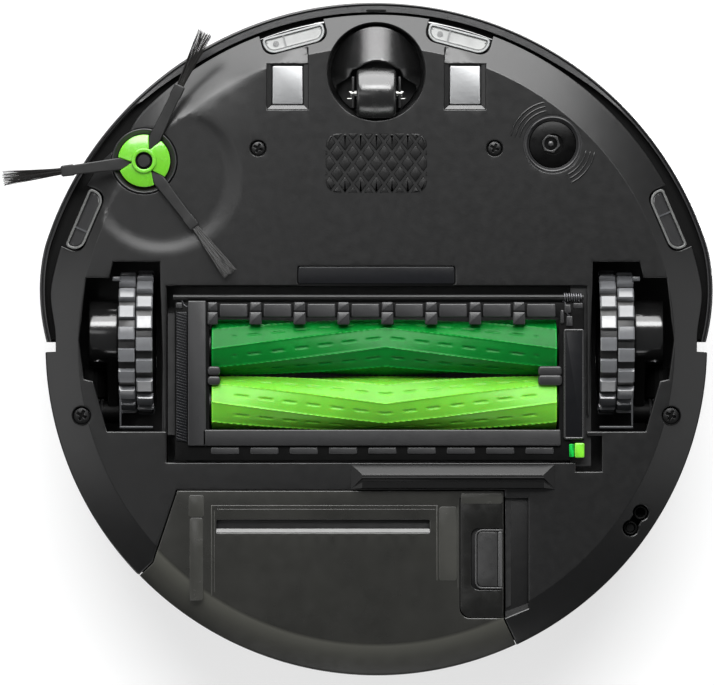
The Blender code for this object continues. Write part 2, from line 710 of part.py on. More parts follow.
def dust_bin():
    """A smoky tub that closes the rear of the body, with a mouth that faces the rollers."""
    tool = "black_plastic"
    pivot = "dust_bin"
    outside = belly_profile() + [(BODY_RADIUS, BIN_TOP_Z), (0, BIN_TOP_Z)]
    tub = lathe("dust_bin", outside, "smoky_plastic", pivot, steps=BODY_STEPS)
    combine(tub, [prism("shape_bin", bin_outline(), (0.0, 90.0), tool)], "INTERSECT")
    inside = belly_profile(BIN_WALL)
    inside[-1] = (BODY_RADIUS - BIN_WALL, BEVEL_TOP_Z + 1.4)
    inside += [(BODY_RADIUS - BIN_WALL, BIN_TOP_Z - BIN_WALL), (0, BIN_TOP_Z - BIN_WALL)]
    hollow = lathe("room_bin", inside, tool, steps=BODY_STEPS)
    shape = prism("shape_room_bin", offset_outline(bin_outline(), BIN_WALL), (0.0, 90.0), tool)
    combine(hollow, [shape], "INTERSECT")
    door_room = block(
        "hole_bin_door", (DOOR_X[0] - GAP, BIN_X[1] + 1.0), (DOOR_Y[0] - GAP, DOOR_Y[1] + GAP),
        (5.0, BELLY_Z + DOOR_SHEET + GAP), tool,
    )
    mouth = block("hole_bin_mouth", BIN_MOUTH_X, (70.0, 77.0), (17.0, 32.0), tool)
    cut(tub, hollow, mouth, door_room)
    block("bin_filter", (-96.0, -84.0), (77.5, 106.0), (13.0, 60.0), "filter_paper", pivot)
    return tub


def bin_door():
    """A flap in the bin's floor with a sprung tab at its free edge."""
    plate_z = (BELLY_Z, BELLY_Z + DOOR_SHEET)
    door = prism("bin_door", rectangle(DOOR_X, DOOR_Y), plate_z, "smoky_plastic", "bin_door")
    tab_y = DOOR_TAB_Y
    room_y = (tab_y[0] - GAP, tab_y[1] + GAP)
    cut(door, block("room_door_tab", (47.5, 70.0), room_y, (5.0, 15.0), "black_plastic"))
    outline = (
        arc(4.0, 180, 270, 4, (49.5 + 4.0, tab_y[0] + 4.0))
        + [(63.3, tab_y[0]), (63.3, tab_y[1])]
        + arc(4.0, 90, 180, 4, (49.5 + 4.0, tab_y[1] - 4.0))
    )
    prism("door_release_tab", outline, (9.2, 11.7), "grey_plastic", "door_tab")


# Small parts

def belly_parts():
    prism("label_plate", rounded_rectangle((-39.2, 39.2), (-39.3, -30.7), 1.5, 3), (10.4, 11.0),
          "gloss_black")
    for side, sign in SIDES.items():
        prism("charging_contact_" + side, contact_outline(sign * CONTACT_X), (10.7, 12.3),
              "contact_metal")
    tilt = math.atan2(BEVEL_TOP_Z - BEVEL_MID[1], BODY_RADIUS - BEVEL_MID[0])
    half_x, half_y = LENS_SIZE[0] / 2, LENS_SIZE[1] / 2
    for name, angle in LENS_ANGLES.items():
        outline = rounded_rectangle((-half_x, half_x), (-half_y, half_y), half_y - 0.2)
        place = lens_place(angle, 16.4) @ Matrix.Rotation(tilt, 4, "X")
        prism("cliff_lens_" + name, outline, (-1.2, 1.2), "clear_lens", place=place)
    place = (*SENSOR_PLACE, 0)
    tube("floor_sensor_housing", 12.9, SENSOR_RADIUS, (10.3, 15.0), place, "black_plastic")
    cylinder("floor_sensor_lens", 12.6, (11.0, 13.5), place, "gloss_black")
    for name, (x, y, head) in SCREWS.items():
        profile = [(0, 10.9), (head, 10.9), (head, 12.9), (1.3, 12.9), (1.3, 20.0), (0, 20.0)]
        lathe("cover_screw_" + name, profile, "steel", centre=(x, y, 0), steps=12)
    foot = rectangle((-12.7, 89.5), (59.7, 72.2))
    edge = offset_outline(foot, 4.2)
    loops = [[(x, y, 5.0) for x, y in edge], [(x, y, BELLY_Z - GAP) for x, y in foot]]
    skin("skid_bar", loops, "charcoal_plastic")


def inside_parts():
    block("battery_pack", (-54.0, 54.0), (-108.0, -46.0), (13.2, 54.0), "black_plastic")
    board = block("main_board", (-60.0, 60.0), (-45.0, 50.0), (DECK_Z + GAP, 80.0), "circuit_board")
    for index, (x, y, size) in enumerate(CHIPS):
        chip = block("chip_%d" % index, (x, x + size), (y, y + size), (79.5, 81.8), "black_plastic")
        fuse(board, chip)
    block("side_brush_motor", (-119.0, -89.0), (-97.0, -67.0), (22.5, 48.0), "black_plastic")
    place = (PIVOTS["impeller"][0], PIVOTS["impeller"][1], 0)
    cup = [(8.0, 24.0), (24.0, 24.0), (24.0, 60.0), (22.0, 60.0), (22.0, 26.0), (8.0, 26.0)]
    lathe("fan_housing", cup, "black_plastic", centre=place, steps=24)
    wheel = [(0, 30.0), (20.0, 30.0), (20.0, 36.0), (8.0, 46.0), (8.0, 54.0), (0, 54.0)]
    lathe("fan_impeller", wheel, "grey_plastic", "impeller", place, steps=24)


def top_buttons():
    for name, (x, radius) in BUTTONS.items():
        node = name + "_button"
        profile = [(0, BUTTON_TOP_Z), (radius - 0.8, BUTTON_TOP_Z), (radius, BUTTON_TOP_Z - 0.6),
                   (radius, 84.5), (0, 84.5)]
        lathe(node, profile, "gloss_black", node, (x, BUTTON_Y, 0), steps=28)
    tube("light_ring", 17.5, 20.7, (88.6, 91.7), (0, BUTTON_Y, 0), "light_diffuser")


def build():
    clear_scene()
    make_pivots()
    bottom_cover()
    chassis_frame()
    top_cover()
    front_bumper()
    for side, sign in SIDES.items():
        wheel_unit(side, sign)
    caster()
    side_brush()
    cleaning_head_housing()
    rollers()
    roller_drive()
    roller_frame()
    dust_bin()
    bin_door()
    belly_parts()
    inside_parts()
    top_buttons()


build()
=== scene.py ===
"""The looks of a round robot vacuum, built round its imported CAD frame.

Plan positions are in millimetres from the axis of the round body, heights in millimetres above
the floor.  The front faces -Y, so the robot's own left is +X.  The belly, which faces -Z, is the
side that the main camera sees.
"""
import functools
import math
import random

import bmesh
import bpy
import numpy as np
from mathutils import Matrix, Vector, geometry


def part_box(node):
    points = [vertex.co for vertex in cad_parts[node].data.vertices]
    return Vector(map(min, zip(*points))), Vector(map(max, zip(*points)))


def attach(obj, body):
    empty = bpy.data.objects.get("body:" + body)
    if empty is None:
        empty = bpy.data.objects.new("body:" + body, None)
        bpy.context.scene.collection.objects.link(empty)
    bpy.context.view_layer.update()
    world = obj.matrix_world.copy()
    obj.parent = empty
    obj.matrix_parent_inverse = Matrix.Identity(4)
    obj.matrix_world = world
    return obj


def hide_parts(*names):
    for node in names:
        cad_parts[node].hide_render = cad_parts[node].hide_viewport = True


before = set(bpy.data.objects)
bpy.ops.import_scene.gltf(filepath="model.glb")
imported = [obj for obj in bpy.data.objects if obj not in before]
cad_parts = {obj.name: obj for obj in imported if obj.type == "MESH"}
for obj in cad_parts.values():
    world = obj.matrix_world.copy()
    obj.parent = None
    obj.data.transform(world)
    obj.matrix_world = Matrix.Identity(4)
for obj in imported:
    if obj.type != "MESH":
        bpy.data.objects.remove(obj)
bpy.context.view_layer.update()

MM = 0.001
SIDES = {"left": 1, "right": -1}

_low, _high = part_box("top_cover")
AXIS = Vector(((_low.x + _high.x) / 2, (_low.y + _high.y) / 2, 0.0))
TO_FRAME = Matrix.Translation(AXIS) @ Matrix.Scale(MM, 4)
BODY_RADIUS = (_high.x - _low.x) / 2 / MM


# Places, read from the CAD frame

@functools.lru_cache(maxsize=None)
def span(node):
    """A CAD node's X, Y and Z ranges."""
    low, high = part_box(node)
    low = (low - AXIS) / MM
    high = (high - AXIS) / MM
    return [(low[k], high[k]) for k in range(3)]


def middle(node):
    return Vector([sum(pair) / 2 for pair in span(node)])


def half_span(node, axis):
    low, high = span(node)[axis]
    return (high - low) / 2


def grown(pair, room):
    return (pair[0] - room, pair[1] + room)


def mirrored(pair, sign):
    return tuple(sorted(sign * value for value in pair))


BELLY_Z = span("bottom_cover")[2][0]
TOP_Z = span("top_cover")[2][1]
FLAT_RADIUS = 149.5             # here the flat belly turns up into the bevel
BEVEL_SLOPE = 0.42
BEVEL_CURL = 0.0055             # the bevel steepens by this much with the distance squared
CREASE_RADII = (149.2, FLAT_RADIUS, 149.8)
BEVEL_RADII = (148.0, 151.0, 153.0, 155.5, 158.0, 160.5, 163.0, 164.8)    # of mesh rings
NOTCH_END = 1.2                 # degrees behind the body's widest line, where the notches end
PRESS_ROOM = 4.2                # the bumper's travel and a little more
WINDOW_Z = (42.0, 60.0)         # of the dark band round the bumper

CASTER = middle("caster_socket")
CASTER_WELL = 24.6
BRUSH = middle("side_brush_hub")
BRUSH_WELL = 16.5
BRUSH_ANGLES = (52.6, 172.8, 295.6)
DISH = (-107.4, -85.0)
DISH_RADIUS = 41.0
BRUSH_SOFT = (-83.0, -126.0)    # here, near the brush, the bevel starts softly
SENSOR = middle("floor_sensor_lens")
HEAD_X = (-105.4, 105.6)
HEAD_Y = (-29.7, 58.9)
LENS_RADIUS = 160.2
LENS_ANGLES = {"front_right": 255.0, "front_left": 285.0, "side_right": 203.2, "side_left": 336.8}
SCREWS = ("front_right", "front_left", "rear_right", "rear_left")
CONTACT_BORDER = (2.2, 0.3, 2.1)     # of a contact's frame at the sides, the front and the rear
BLIND_HOLES = ((132.7, 84.1), (127.6, 91.8))
BLIND_MIDDLE = (130.15, 87.95)
PAD_X = (-26.0, 26.0)
PAD_Y = (-106.7, -75.7)
PAD_PITCH = (7.86, 5.24)
TREAD_BLOCKS = 20
TREAD_FLOOR = 33.6
ROLLER_FACETS = 8
APEX_X = 4.5                    # of the rollers' chevrons
BIN_LEFT = 63.8                 # the bin's edge on the robot's left
BIN_FRONT = 73.0
BIN_OUTLINE = [
    (-99.8, BIN_FRONT), (BIN_LEFT, BIN_FRONT), (BIN_LEFT, 137.4), (70.3, 150.8), (80.0, 171.0),
    (-40.0, 200.0), (-126.0, 122.5), (-111.9, 109.2),
]
BIN_SLOT = ((-80.2, 26.7), (87.6, 94.1))


# Outlines: lists of plan points, anticlockwise

def polar(radius, degrees, centre=(0.0, 0.0)):
    turn = math.radians(degrees)
    return (centre[0] + radius * math.cos(turn), centre[1] + radius * math.sin(turn))


def arc(radius, start, end, steps, centre=(0.0, 0.0)):
    return [polar(radius, start + (end - start) * k / steps, centre) for k in range(steps + 1)]


def circle(radius, steps, centre=(0.0, 0.0)):
    return arc(radius, 0, 360, steps, centre)[:-1]


def rectangle(x_range, y_range, radius=0.0, steps=5):
    (x0, x1), (y0, y1) = x_range, y_range
    if radius <= 0:
        return [(x0, y0), (x1, y0), (x1, y1), (x0, y1)]
    return (
        arc(radius, 180, 270, steps, (x0 + radius, y0 + radius))
        + arc(radius, 270, 360, steps, (x1 - radius, y0 + radius))
        + arc(radius, 0, 90, steps, (x1 - radius, y1 - radius))
        + arc(radius, 90, 180, steps, (x0 + radius, y1 - radius))
    )


def inset(points, distance):
    """Move every side of an anticlockwise outline inwards; a negative distance moves it out."""
    moved = []
    for index, point in enumerate(points):
        here = Vector(point)
        before = (here - Vector(points[index - 1])).normalized()
        after = (Vector(points[(index + 1) % len(points)]) - here).normalized()
        inward = Vector((-before.y - after.y, before.x + after.x)).normalized()
        shift = distance / max(inward.dot(Vector((-before.y, before.x))), 0.3)
        moved.append(tuple(here + inward * shift))
    return moved


def subdivide(points, longest):
    finer = []
    for index, point in enumerate(points):
        start = Vector(point)
        end = Vector(points[(index + 1) % len(points)])
        pieces = max(1, math.ceil((end - start).length / longest))
        finer += [tuple(start.lerp(end, k / pieces)) for k in range(pieces)]
    return finer


def inside(outline, spots):
    """For each plan spot, whether it lies inside the outline."""
    x, y = spots[:, 0], spots[:, 1]
    found = np.zeros(len(spots), bool)
    for (x0, y0), (x1, y1) in zip(outline, outline[1:] + outline[:1]):
        if y0 != y1:
            crosses = (y0 > y) != (y1 > y)
            found ^= crosses & (x < (x1 - x0) * (y - y0) / (y1 - y0) + x0)
    return found


def raised(points, z):
    """Plan points at a height."""
    return [(*point, z) for point in points]


def turned(points, angle, centre):
    """Turn plan points about the origin, then move them to a centre."""
    cos, sin = math.cos(math.radians(angle)), math.sin(math.radians(angle))
    return [(centre[0] + x * cos - y * sin, centre[1] + x * sin + y * cos) for x, y in points]


def ease(t):
    t = np.clip(t, 0.0, 1.0)
    return t * t * (3 - 2 * t)


# Mesh builders, in millimetres

def piece(name, bm, finish, body, replaces=(), sharp=32.0, even=False, place=None):
    """Turn a bmesh into an object of the frame that rides on a body."""
    matrix = TO_FRAME if place is None else TO_FRAME @ place
    bmesh.ops.transform(bm, matrix=matrix, verts=bm.verts)
    bmesh.ops.recalc_face_normals(bm, faces=bm.faces)
    mesh = bpy.data.meshes.new(name)
    bm.to_mesh(mesh)
    bm.free()
    mesh.materials.append(FINISHES[finish])
    mesh.shade_smooth()
    mesh.set_sharp_from_angle(angle=math.radians(sharp))
    item = bpy.data.objects.new(name, mesh)
    bpy.context.scene.collection.objects.link(item)
    if even:
        item.modifiers.new("even_shading", "WEIGHTED_NORMAL").keep_sharp = True
    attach(item, body)
    if replaces:
        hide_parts(*replaces)
    return item


def loft(bm, loops, closed=False):
    """Bridge loops of the same count; the ends are capped unless the loft closes on itself."""
    rings = [[bm.verts.new(point) for point in loop] for loop in loops]
    count = len(loops[0])
    pairs = list(zip(rings, rings[1:]))
    if closed:
        pairs.append((rings[-1], rings[0]))
    for ring, after in pairs:
        for index in range(count):
            other = (index + 1) % count
            bm.faces.new((ring[index], ring[other], after[other], after[index]))
    if not closed:
        bm.faces.new(reversed(rings[0]))
        bm.faces.new(rings[-1])
    return bm


def slab(bm, outline, z_range, fillet, steps=3):
    """A closed plate with rounded rims."""
    low, high = z_range
    levels = []
    for step in range(steps + 1):
        turn = math.pi / 2 * step / steps
        levels.append((fillet * (1 - math.sin(turn)), low + fillet * (1 - math.cos(turn))))
    levels += [(d, low + high - z) for d, z in reversed(levels)]
    return loft(bm, [raised(inset(outline, d) if d > 1e-6 else outline, z) for d, z in levels])


def turned_solid(bm, profile, steps, place):
    """Turn a closed profile of (radius, height) points about its place's Z axis.

    A profile that starts on the axis also ends there.
    """
    def spot(point, turn):
        return (point[0] * math.cos(turn), point[0] * math.sin(turn), point[1])

    made = bmesh.new()
    turns = [2 * math.pi * k / steps for k in range(steps)]
    if profile[0][0] > 0:
        loft(made, [[spot(point, turn) for point in profile] for turn in turns], closed=True)
    else:
        loft(made, [[spot(point, turn) for turn in turns] for point in profile[1:-1]])
    bmesh.ops.transform(made, matrix=place, verts=made.verts)
    absorb(bm, made)
    return bm


def pillar(bm, radius, start, end, steps, place):
    return turned_solid(bm, [(0, start), (radius, start), (radius, end), (0, end)], steps, place)


def lifted(profile, z):
    """Move a profile of (radius, height) points up."""
    return [(radius, z + height) for radius, height in profile]


def absorb(bm, other):
    """Copy another bmesh into this one."""
    copies = {vert: bm.verts.new(vert.co) for vert in other.verts}
    for face in other.faces:
        bm.faces.new([copies[vert] for vert in face.verts])
    other.free()


def rounded(profile, radius):
    """Round the corners of an open profile of (radius, height) points, its ends excepted."""
    smooth = [profile[0]]
    for before, here, after in zip(profile, profile[1:], profile[2:]):
        here = Vector(here)
        back = Vector(before) - here
        on = Vector(after) - here
        room = min(radius, back.length * 0.45, on.length * 0.45)
        start = here + back.normalized() * room
        end = here + on.normalized() * room
        for t in (0, 1 / 3, 2 / 3, 1):
            smooth.append(tuple(start.lerp(here, t).lerp(here.lerp(end, t), t)))
    smooth.append(profile[-1])
    return smooth


def over(spot):
    """Place a turned solid on a plan spot."""
    return Matrix.Translation((spot[0], spot[1], 0.0))


def along_x(centre):
    """Lay a turned solid along X, its profile's heights counted from a centre."""
    return Matrix.Translation(Vector(centre)) @ Matrix.Rotation(math.pi / 2, 4, "Y")


def rod(bm, path, radii, sides=8):
    """A tube through the points of a path, its radius given at each point."""
    points = [Vector(p) for p in path]
    loops = []
    for index, point in enumerate(points):
        ahead = points[min(index + 1, len(points) - 1)]
        behind = points[max(index - 1, 0)]
        along = (ahead - behind).normalized()
        across = along.orthogonal() if abs(along.z) > 0.9 else Vector((-along.y, along.x, 0))
        across.normalize()
        up = along.cross(across)
        radius = radii[index] if hasattr(radii, "__len__") else radii
        loop = []
        for side in range(sides):
            turn = 2 * math.pi * side / sides
            loop.append(point + (across * math.cos(turn) + up * math.sin(turn)) * radius)
        loops.append(loop)
    return loft(bm, loops)


def skin(regions, cutters, creases, spots, height, depth, fillet=0.6, steps=3):
    """A moulded sheet over the plan area inside every region and outside every cutter.

    height gives the shown face, and depth, with its sign, is how far behind it the back lies.
    Rims are rounded by fillet.  Creases are lines that the mesh follows.
    """
    bm = bmesh.new()
    rims = [inset(region, fillet) for region in regions]
    rims += [inset(cutter, -fillet) for cutter in cutters]
    rims = [subdivide(rim, 3.0) for rim in rims]
    places, edges = [], []
    for line in rims + creases:
        first = len(places)
        places += line
        edges += [(first + k, first + k + 1) for k in range(len(line) - 1)]
        if line in rims:
            edges.append((len(places) - 1, first))
    places += spots
    found = geometry.delaunay_2d_cdt([Vector(p) for p in places], edges, [], 0, 1e-4)
    plan = np.array([tuple(p) for p in found[0]])
    triangles = np.array(found[2])
    centres = plan[triangles].mean(axis=1)
    keep = np.ones(len(triangles), bool)
    for index, rim in enumerate(rims):
        within = inside(rim, centres)
        keep &= within if index < len(regions) else ~within
    z = height(plan[:, 0], plan[:, 1])
    verts = {}
    for index in np.unique(triangles[keep]):
        verts[index] = bm.verts.new((*plan[index], z[index]))
    shown = [bm.faces.new([verts[k] for k in triangle]) for triangle in triangles[keep]]
    edge_pairs = [tuple(e.verts) for e in bm.edges if len(e.link_faces) == 1]
    push = rim_directions(bm)
    ring = {vert: vert for vert in push}
    side = 1 if depth > 0 else -1
    for step in range(1, steps + 1):
        turn = math.pi / 2 * step / steps
        out, drop = fillet * math.sin(turn), side * fillet * (1 - math.cos(turn))
        ring = bridge_rim(bm, edge_pairs, ring, push, out, drop)
    behind = bridge_rim(bm, edge_pairs, ring, push, fillet, depth)
    for vert in list(verts.values()):
        if vert not in behind:
            behind[vert] = bm.verts.new(vert.co + Vector((0, 0, depth)))
    for face in shown:
        bm.faces.new([behind[vert] for vert in reversed(face.verts[:])])
    return bm


def level(z):
    """A flat face for skin."""
    return lambda x, y: np.full(len(x), z)


def rim_directions(bm):
    """For each vertex on an open rim, the plan step that leaves the sheet at unit distance."""
    outward = {}
    for edge in [e for e in bm.edges if len(e.link_faces) == 1]:
        a, b = edge.verts
        along = (b.co - a.co).xy.normalized()
        away = Vector((along.y, -along.x))
        if away.dot(edge.link_faces[0].calc_center_median().xy - a.co.xy) > 0:
            away.negate()
        for vert in edge.verts:
            outward.setdefault(vert, []).append(away)
    steps = {}
    for vert, ways in outward.items():
        total = sum(ways, Vector((0.0, 0.0)))
        if total.length < 1e-6:
            total = ways[0].copy()
        total.normalize()
        steps[vert] = total / max(total.dot(ways[0]), 0.4)
    return steps


def bridge_rim(bm, edge_pairs, ring, push, out, drop):
    after = {}
    for vert, way in push.items():
        after[vert] = bm.verts.new(vert.co + Vector((way.x * out, way.y * out, drop)))
    for a, b in edge_pairs:
        bm.faces.new((ring[a], ring[b], after[b], after[a]))
    return after


# Procedural finishes

def add_node(tree, kind, **settings):
    item = tree.nodes.new(kind)
    for key, value in settings.items():
        if key.startswith("in_"):
            item.inputs[key[3:].replace("_", " ")].default_value = value
        else:
            setattr(item, key, value)
    return item


def noise(tree, coordinates, scale, detail=4.0):
    item = add_node(tree, "ShaderNodeTexNoise", in_Scale=scale, in_Detail=detail,
                    in_Roughness=0.55)
    tree.links.new(coordinates, item.inputs["Vector"])
    return item.outputs["Fac"]


def ramp(tree, value, stops):
    """Colours or greys at places along 0 to 1."""
    item = add_node(tree, "ShaderNodeValToRGB")
    tree.links.new(value, item.inputs["Fac"])
    elements = item.color_ramp.elements
    while len(elements) < len(stops):
        elements.new(0.5)
    for element, (place, colour) in zip(elements, stops):
        element.position = place
        element.color = (*colour, 1.0) if hasattr(colour, "__len__") else (colour,) * 3 + (1.0,)
    return item.outputs["Color"]


def scaled(colour, factor):
    return tuple(min(channel * factor, 1.0) for channel in colour)


def mix_colour(tree, share, under, colour, socket):
    """Lay a colour over another by a share, and feed the mix to a socket."""
    mixed = add_node(tree, "ShaderNodeMix", data_type="RGBA")
    tree.links.new(share, mixed.inputs["Factor"])
    tree.links.new(under, mixed.inputs["A"])
    mixed.inputs["B"].default_value = (*colour, 1.0)
    tree.links.new(mixed.outputs["Result"], socket)


def moulded(name, colour, rough, mottle=0.12, blotch=45.0, grain=1400.0, relief=0.25,
            stretch=(1.0, 1.0, 1.0), wear=1.5, spread=0.07, **sockets):
    """A finish with mottled colour, uneven gloss, fine relief and paler edges, which stand for
    edge wear and for painted highlights on ridges.
    """
    finish = bpy.data.materials.new(name)
    finish.use_nodes = True
    tree = finish.node_tree
    shader = tree.nodes["Principled BSDF"]
    place = add_node(tree, "ShaderNodeTexCoord").outputs["Object"]
    mapping = add_node(tree, "ShaderNodeMapping", in_Scale=stretch)
    tree.links.new(place, mapping.inputs["Vector"])
    fine = mapping.outputs["Vector"]
    tint = ramp(tree, noise(tree, place, blotch),
                [(0.32, scaled(colour, 1 - mottle)), (0.68, scaled(colour, 1 + mottle))])
    # Edges are lightened by their pointiness: partly edge wear, partly a painted highlight.
    edge = add_node(tree, "ShaderNodeNewGeometry").outputs["Pointiness"]
    pale_edge_share = ramp(tree, edge, [(0.52, 0.0), (0.62, 1.0)])
    mix_colour(tree, pale_edge_share, tint, scaled(colour, wear), shader.inputs["Base Color"])
    gloss = ramp(tree, noise(tree, fine, blotch * 5, 6.0),
                 [(0.3, max(rough - spread, 0.03)), (0.7, rough + spread)])
    tree.links.new(gloss, shader.inputs["Roughness"])
    bump = add_node(tree, "ShaderNodeBump", in_Strength=relief, in_Distance=0.0001)
    tree.links.new(noise(tree, fine, grain, 3.0), bump.inputs["Height"])
    tree.links.new(bump.outputs["Normal"], shader.inputs["Normal"])
    for socket, value in sockets.items():
        shader.inputs[socket.replace("_", " ")].default_value = value
    return finish


def paint_highlight_band(finish, radii, colour):
    """A paler band between two distances from the round body's axis: a painted highlight along the
    bevel's crease.
    """
    tree = finish.node_tree
    shader = tree.nodes["Principled BSDF"]
    before = shader.inputs["Base Color"].links[0].from_socket
    place = add_node(tree, "ShaderNodeTexCoord").outputs["Object"]
    flat = add_node(tree, "ShaderNodeVectorMath", operation="MULTIPLY_ADD")
    tree.links.new(place, flat.inputs[0])
    flat.inputs[1].default_value = (1.0, 1.0, 0.0)
    flat.inputs[2].default_value = (-AXIS.x, -AXIS.y, 0.0)
    length = add_node(tree, "ShaderNodeVectorMath", operation="LENGTH")
    tree.links.new(flat.outputs["Vector"], length.inputs[0])
    spread = add_node(tree, "ShaderNodeMapRange")
    tree.links.new(length.outputs["Value"], spread.inputs["Value"])
    spread.inputs["From Min"].default_value = radii[0] * MM
    spread.inputs["From Max"].default_value = radii[1] * MM
    band = ramp(tree, spread.outputs["Result"], [(0.0, 0.0), (0.12, 1.0), (0.5, 0.45), (1.0, 0.0)])
    mix_colour(tree, band, before, colour, shader.inputs["Base Color"])


# Each finish: the CAD slot it stands for, its colour (one number is a grey), its roughness, and
# what else sets it apart
FINISH_TABLE = {
    "charcoal_plastic": ("charcoal_plastic", 0.0042, 0.3, dict(
        mottle=0.06, spread=0.02, Specular_IOR_Level=0.52)),
    "frame_plastic": ("charcoal_plastic", (0.013, 0.013, 0.0135), 0.34, dict(
        mottle=0.06, spread=0.03)),
    "black_plastic": ("black_plastic", (0.0022, 0.0022, 0.0023), 0.42, dict()),
    # Near-black and almost matt, for bores, holes, gaps, backing rings and parts deep in wells:
    # painted shade in these recesses.
    "painted_shade_black": ("black_plastic", 0.0011, 0.55, dict(relief=0.1, Specular_IOR_Level=0.1)),
    "gloss_black": ("gloss_black", 0.004, 0.12, dict(
        relief=0.05, spread=0.03, Coat_Weight=0.6, Coat_Roughness=0.06)),
    "sensor_glass": ("gloss_black", 0.0012, 0.3, dict(relief=0.05, Specular_IOR_Level=0.12)),
    "smoky_plastic": ("smoky_plastic", (0.0155, 0.0155, 0.0138), 0.22, dict(
        mottle=0.2, blotch=30.0, relief=0.06, spread=0.04)),
    "bumper_plastic": ("bumper_plastic", (0.012, 0.012, 0.0125), 0.3, dict(
        mottle=0.06, spread=0.03)),
    "tyre_rubber": ("tyre_rubber", (0.08, 0.082, 0.086), 0.2, dict(
        mottle=0.12, blotch=160.0, grain=2600.0, relief=0.1, spread=0.05,
        Specular_IOR_Level=0.8)),
    "grey_plastic": ("grey_plastic", (0.03, 0.031, 0.033), 0.36, dict()),
    "frame_gloss": ("charcoal_plastic", 0.011, 0.26, dict(
        relief=0.06, Coat_Weight=0.5, Coat_Roughness=0.08)),
    "gear_plastic": ("black_plastic", 0.008, 0.15, dict(
        relief=0.05, spread=0.03, Specular_IOR_Level=0.8)),
    "caster_plastic": ("black_plastic", 0.005, 0.24, dict(
        mottle=0.05, relief=0.05, spread=0.03, Specular_IOR_Level=0.7)),
    "caster_rubber": ("tyre_rubber", 0.009, 0.24, dict(relief=0.05, Specular_IOR_Level=0.9)),
    "grille_plastic": ("black_plastic", (0.0035, 0.0037, 0.0045), 0.3, dict(
        relief=0.04, spread=0.02, Specular_IOR_Level=0.3)),
    "hinge_metal": ("motor_steel", (0.09, 0.09, 0.095), 0.25, dict(Metallic=0.9)),
    # A paler copy of the smoky plastic for the bin slot's lip: a painted highlight.
    "highlight_lip_plastic": ("smoky_plastic", (0.055, 0.055, 0.053), 0.2, dict(relief=0.05)),
    "smoky_light": ("smoky_plastic", (0.03, 0.03, 0.0268), 0.22, dict(
        mottle=0.25, blotch=30.0, relief=0.06)),
    "smoky_dark": ("smoky_plastic", (0.006, 0.006, 0.0055), 0.22, dict(relief=0.06)),
    "tab_plastic": ("grey_plastic", 0.018, 0.3, dict(relief=0.08)),
    "tab_light": ("grey_plastic", 0.04, 0.25, dict(relief=0.06)),
    "wall_plastic": ("black_plastic", (0.008, 0.008, 0.0083), 0.3, dict(
        mottle=0.04, spread=0.02, relief=0.12)),
    "top_plastic": ("charcoal_plastic", (0.012, 0.012, 0.0125), 0.32, dict(
        mottle=0.04, spread=0.015, relief=0.2)),
    "button_metal": ("motor_steel", (0.3, 0.31, 0.32), 0.24, dict(
        stretch=(1.0, 25.0, 1.0), Metallic=1.0)),
    "pad_plastic": ("charcoal_plastic", 0.0022, 0.38, dict(Specular_IOR_Level=0.3)),
    "skid_plastic": ("charcoal_plastic", 0.005, 0.28, dict(
        mottle=0.05, relief=0.04, spread=0.01, Specular_IOR_Level=0.25)),
    # The front lens window: pale from frosting and from painted light.
    "frosted_and_lit_lens": ("clear_lens", (0.15, 0.153, 0.15), 0.2, dict(mottle=0.15, blotch=120.0)),
    # A darker copy of the clear lens for the side lenses' bezels: painted shade.
    "shaded_lens_rim": ("clear_lens", (0.075, 0.076, 0.074), 0.25, dict(mottle=0.3, blotch=200.0)),
    "lens_detail": ("clear_lens", (0.04, 0.041, 0.041), 0.3, dict()),
    "contact_metal": ("contact_metal", (0.4, 0.405, 0.41), 0.42, dict(
        mottle=0.04, stretch=(1.0, 30.0, 1.0), grain=700.0, relief=0.04, wear=1.1, Metallic=1.0)),
    "motor_steel": ("motor_steel", (0.42, 0.42, 0.43), 0.3, dict(
        stretch=(1.0, 20.0, 20.0), Metallic=1.0)),
    "screw_steel": ("screw_steel", 0.006, 0.34, dict(mottle=0.05, relief=0.06, Metallic=0.3)),
    "pin_steel": ("motor_steel", (0.22, 0.22, 0.21), 0.3, dict(mottle=0.05, Metallic=1.0)),
    "clear_lens": ("clear_lens", (0.16, 0.165, 0.165), 0.12, dict(
        mottle=0.1, relief=0.08, Transmission_Weight=0.25, IOR=1.45)),
    "lime_plastic": ("lime_plastic", (0.11, 0.38, 0.018), 0.24, dict(
        mottle=0.06, relief=0.08, wear=1.4, Coat_Weight=0.3, Subsurface_Weight=0.1)),
    # The rollers' strong edge lightening paints highlights on the ridges of their facets.
    "green_rubber": ("green_rubber", (0.0008, 0.125, 0.014), 0.42, dict(
        mottle=0.1, blotch=70.0, stretch=(0.35, 1.0, 1.0), wear=3.0, spread=0.05,
        Specular_IOR_Level=0.15, Subsurface_Weight=0.4, Subsurface_Scale=0.003)),
    "lime_rubber": ("lime_rubber", (0.115, 0.38, 0.028), 0.36, dict(
        mottle=0.08, blotch=70.0, stretch=(0.35, 1.0, 1.0), wear=2.0, spread=0.05,
        Specular_IOR_Level=0.2, Subsurface_Weight=0.4, Subsurface_Scale=0.003)),
    "brush_rubber": ("brush_rubber", 0.006, 0.42, dict(relief=0.2, Specular_IOR_Level=0.35)),
    "bristle_nylon": ("bristle_nylon", (0.006, 0.0056, 0.0052), 0.42, dict(
        mottle=0.3, blotch=400.0, Specular_IOR_Level=0.35)),
    "filter_paper": ("filter_paper", (0.62, 0.6, 0.5), 0.85, dict(blotch=300.0)),
    "circuit_board": ("circuit_board", (0.02, 0.14, 0.06), 0.45, dict(mottle=0.3, blotch=250.0)),
    "light_diffuser": ("light_diffuser", (0.75, 0.78, 0.8), 0.42, dict(mottle=0.05)),
}


def make_finishes():
    made = {}
    for name, (_, colour, rough, extras) in FINISH_TABLE.items():
        colour = colour if isinstance(colour, tuple) else (colour,) * 3
        made[name] = moulded(name, colour, rough, **extras)
    # The bin's bevel is lighter near its crease: a painted highlight.
    paint_highlight_band(made["smoky_plastic"], (149.3, 166.0), (0.07, 0.07, 0.06))
    return made


FINISHES = make_finishes()

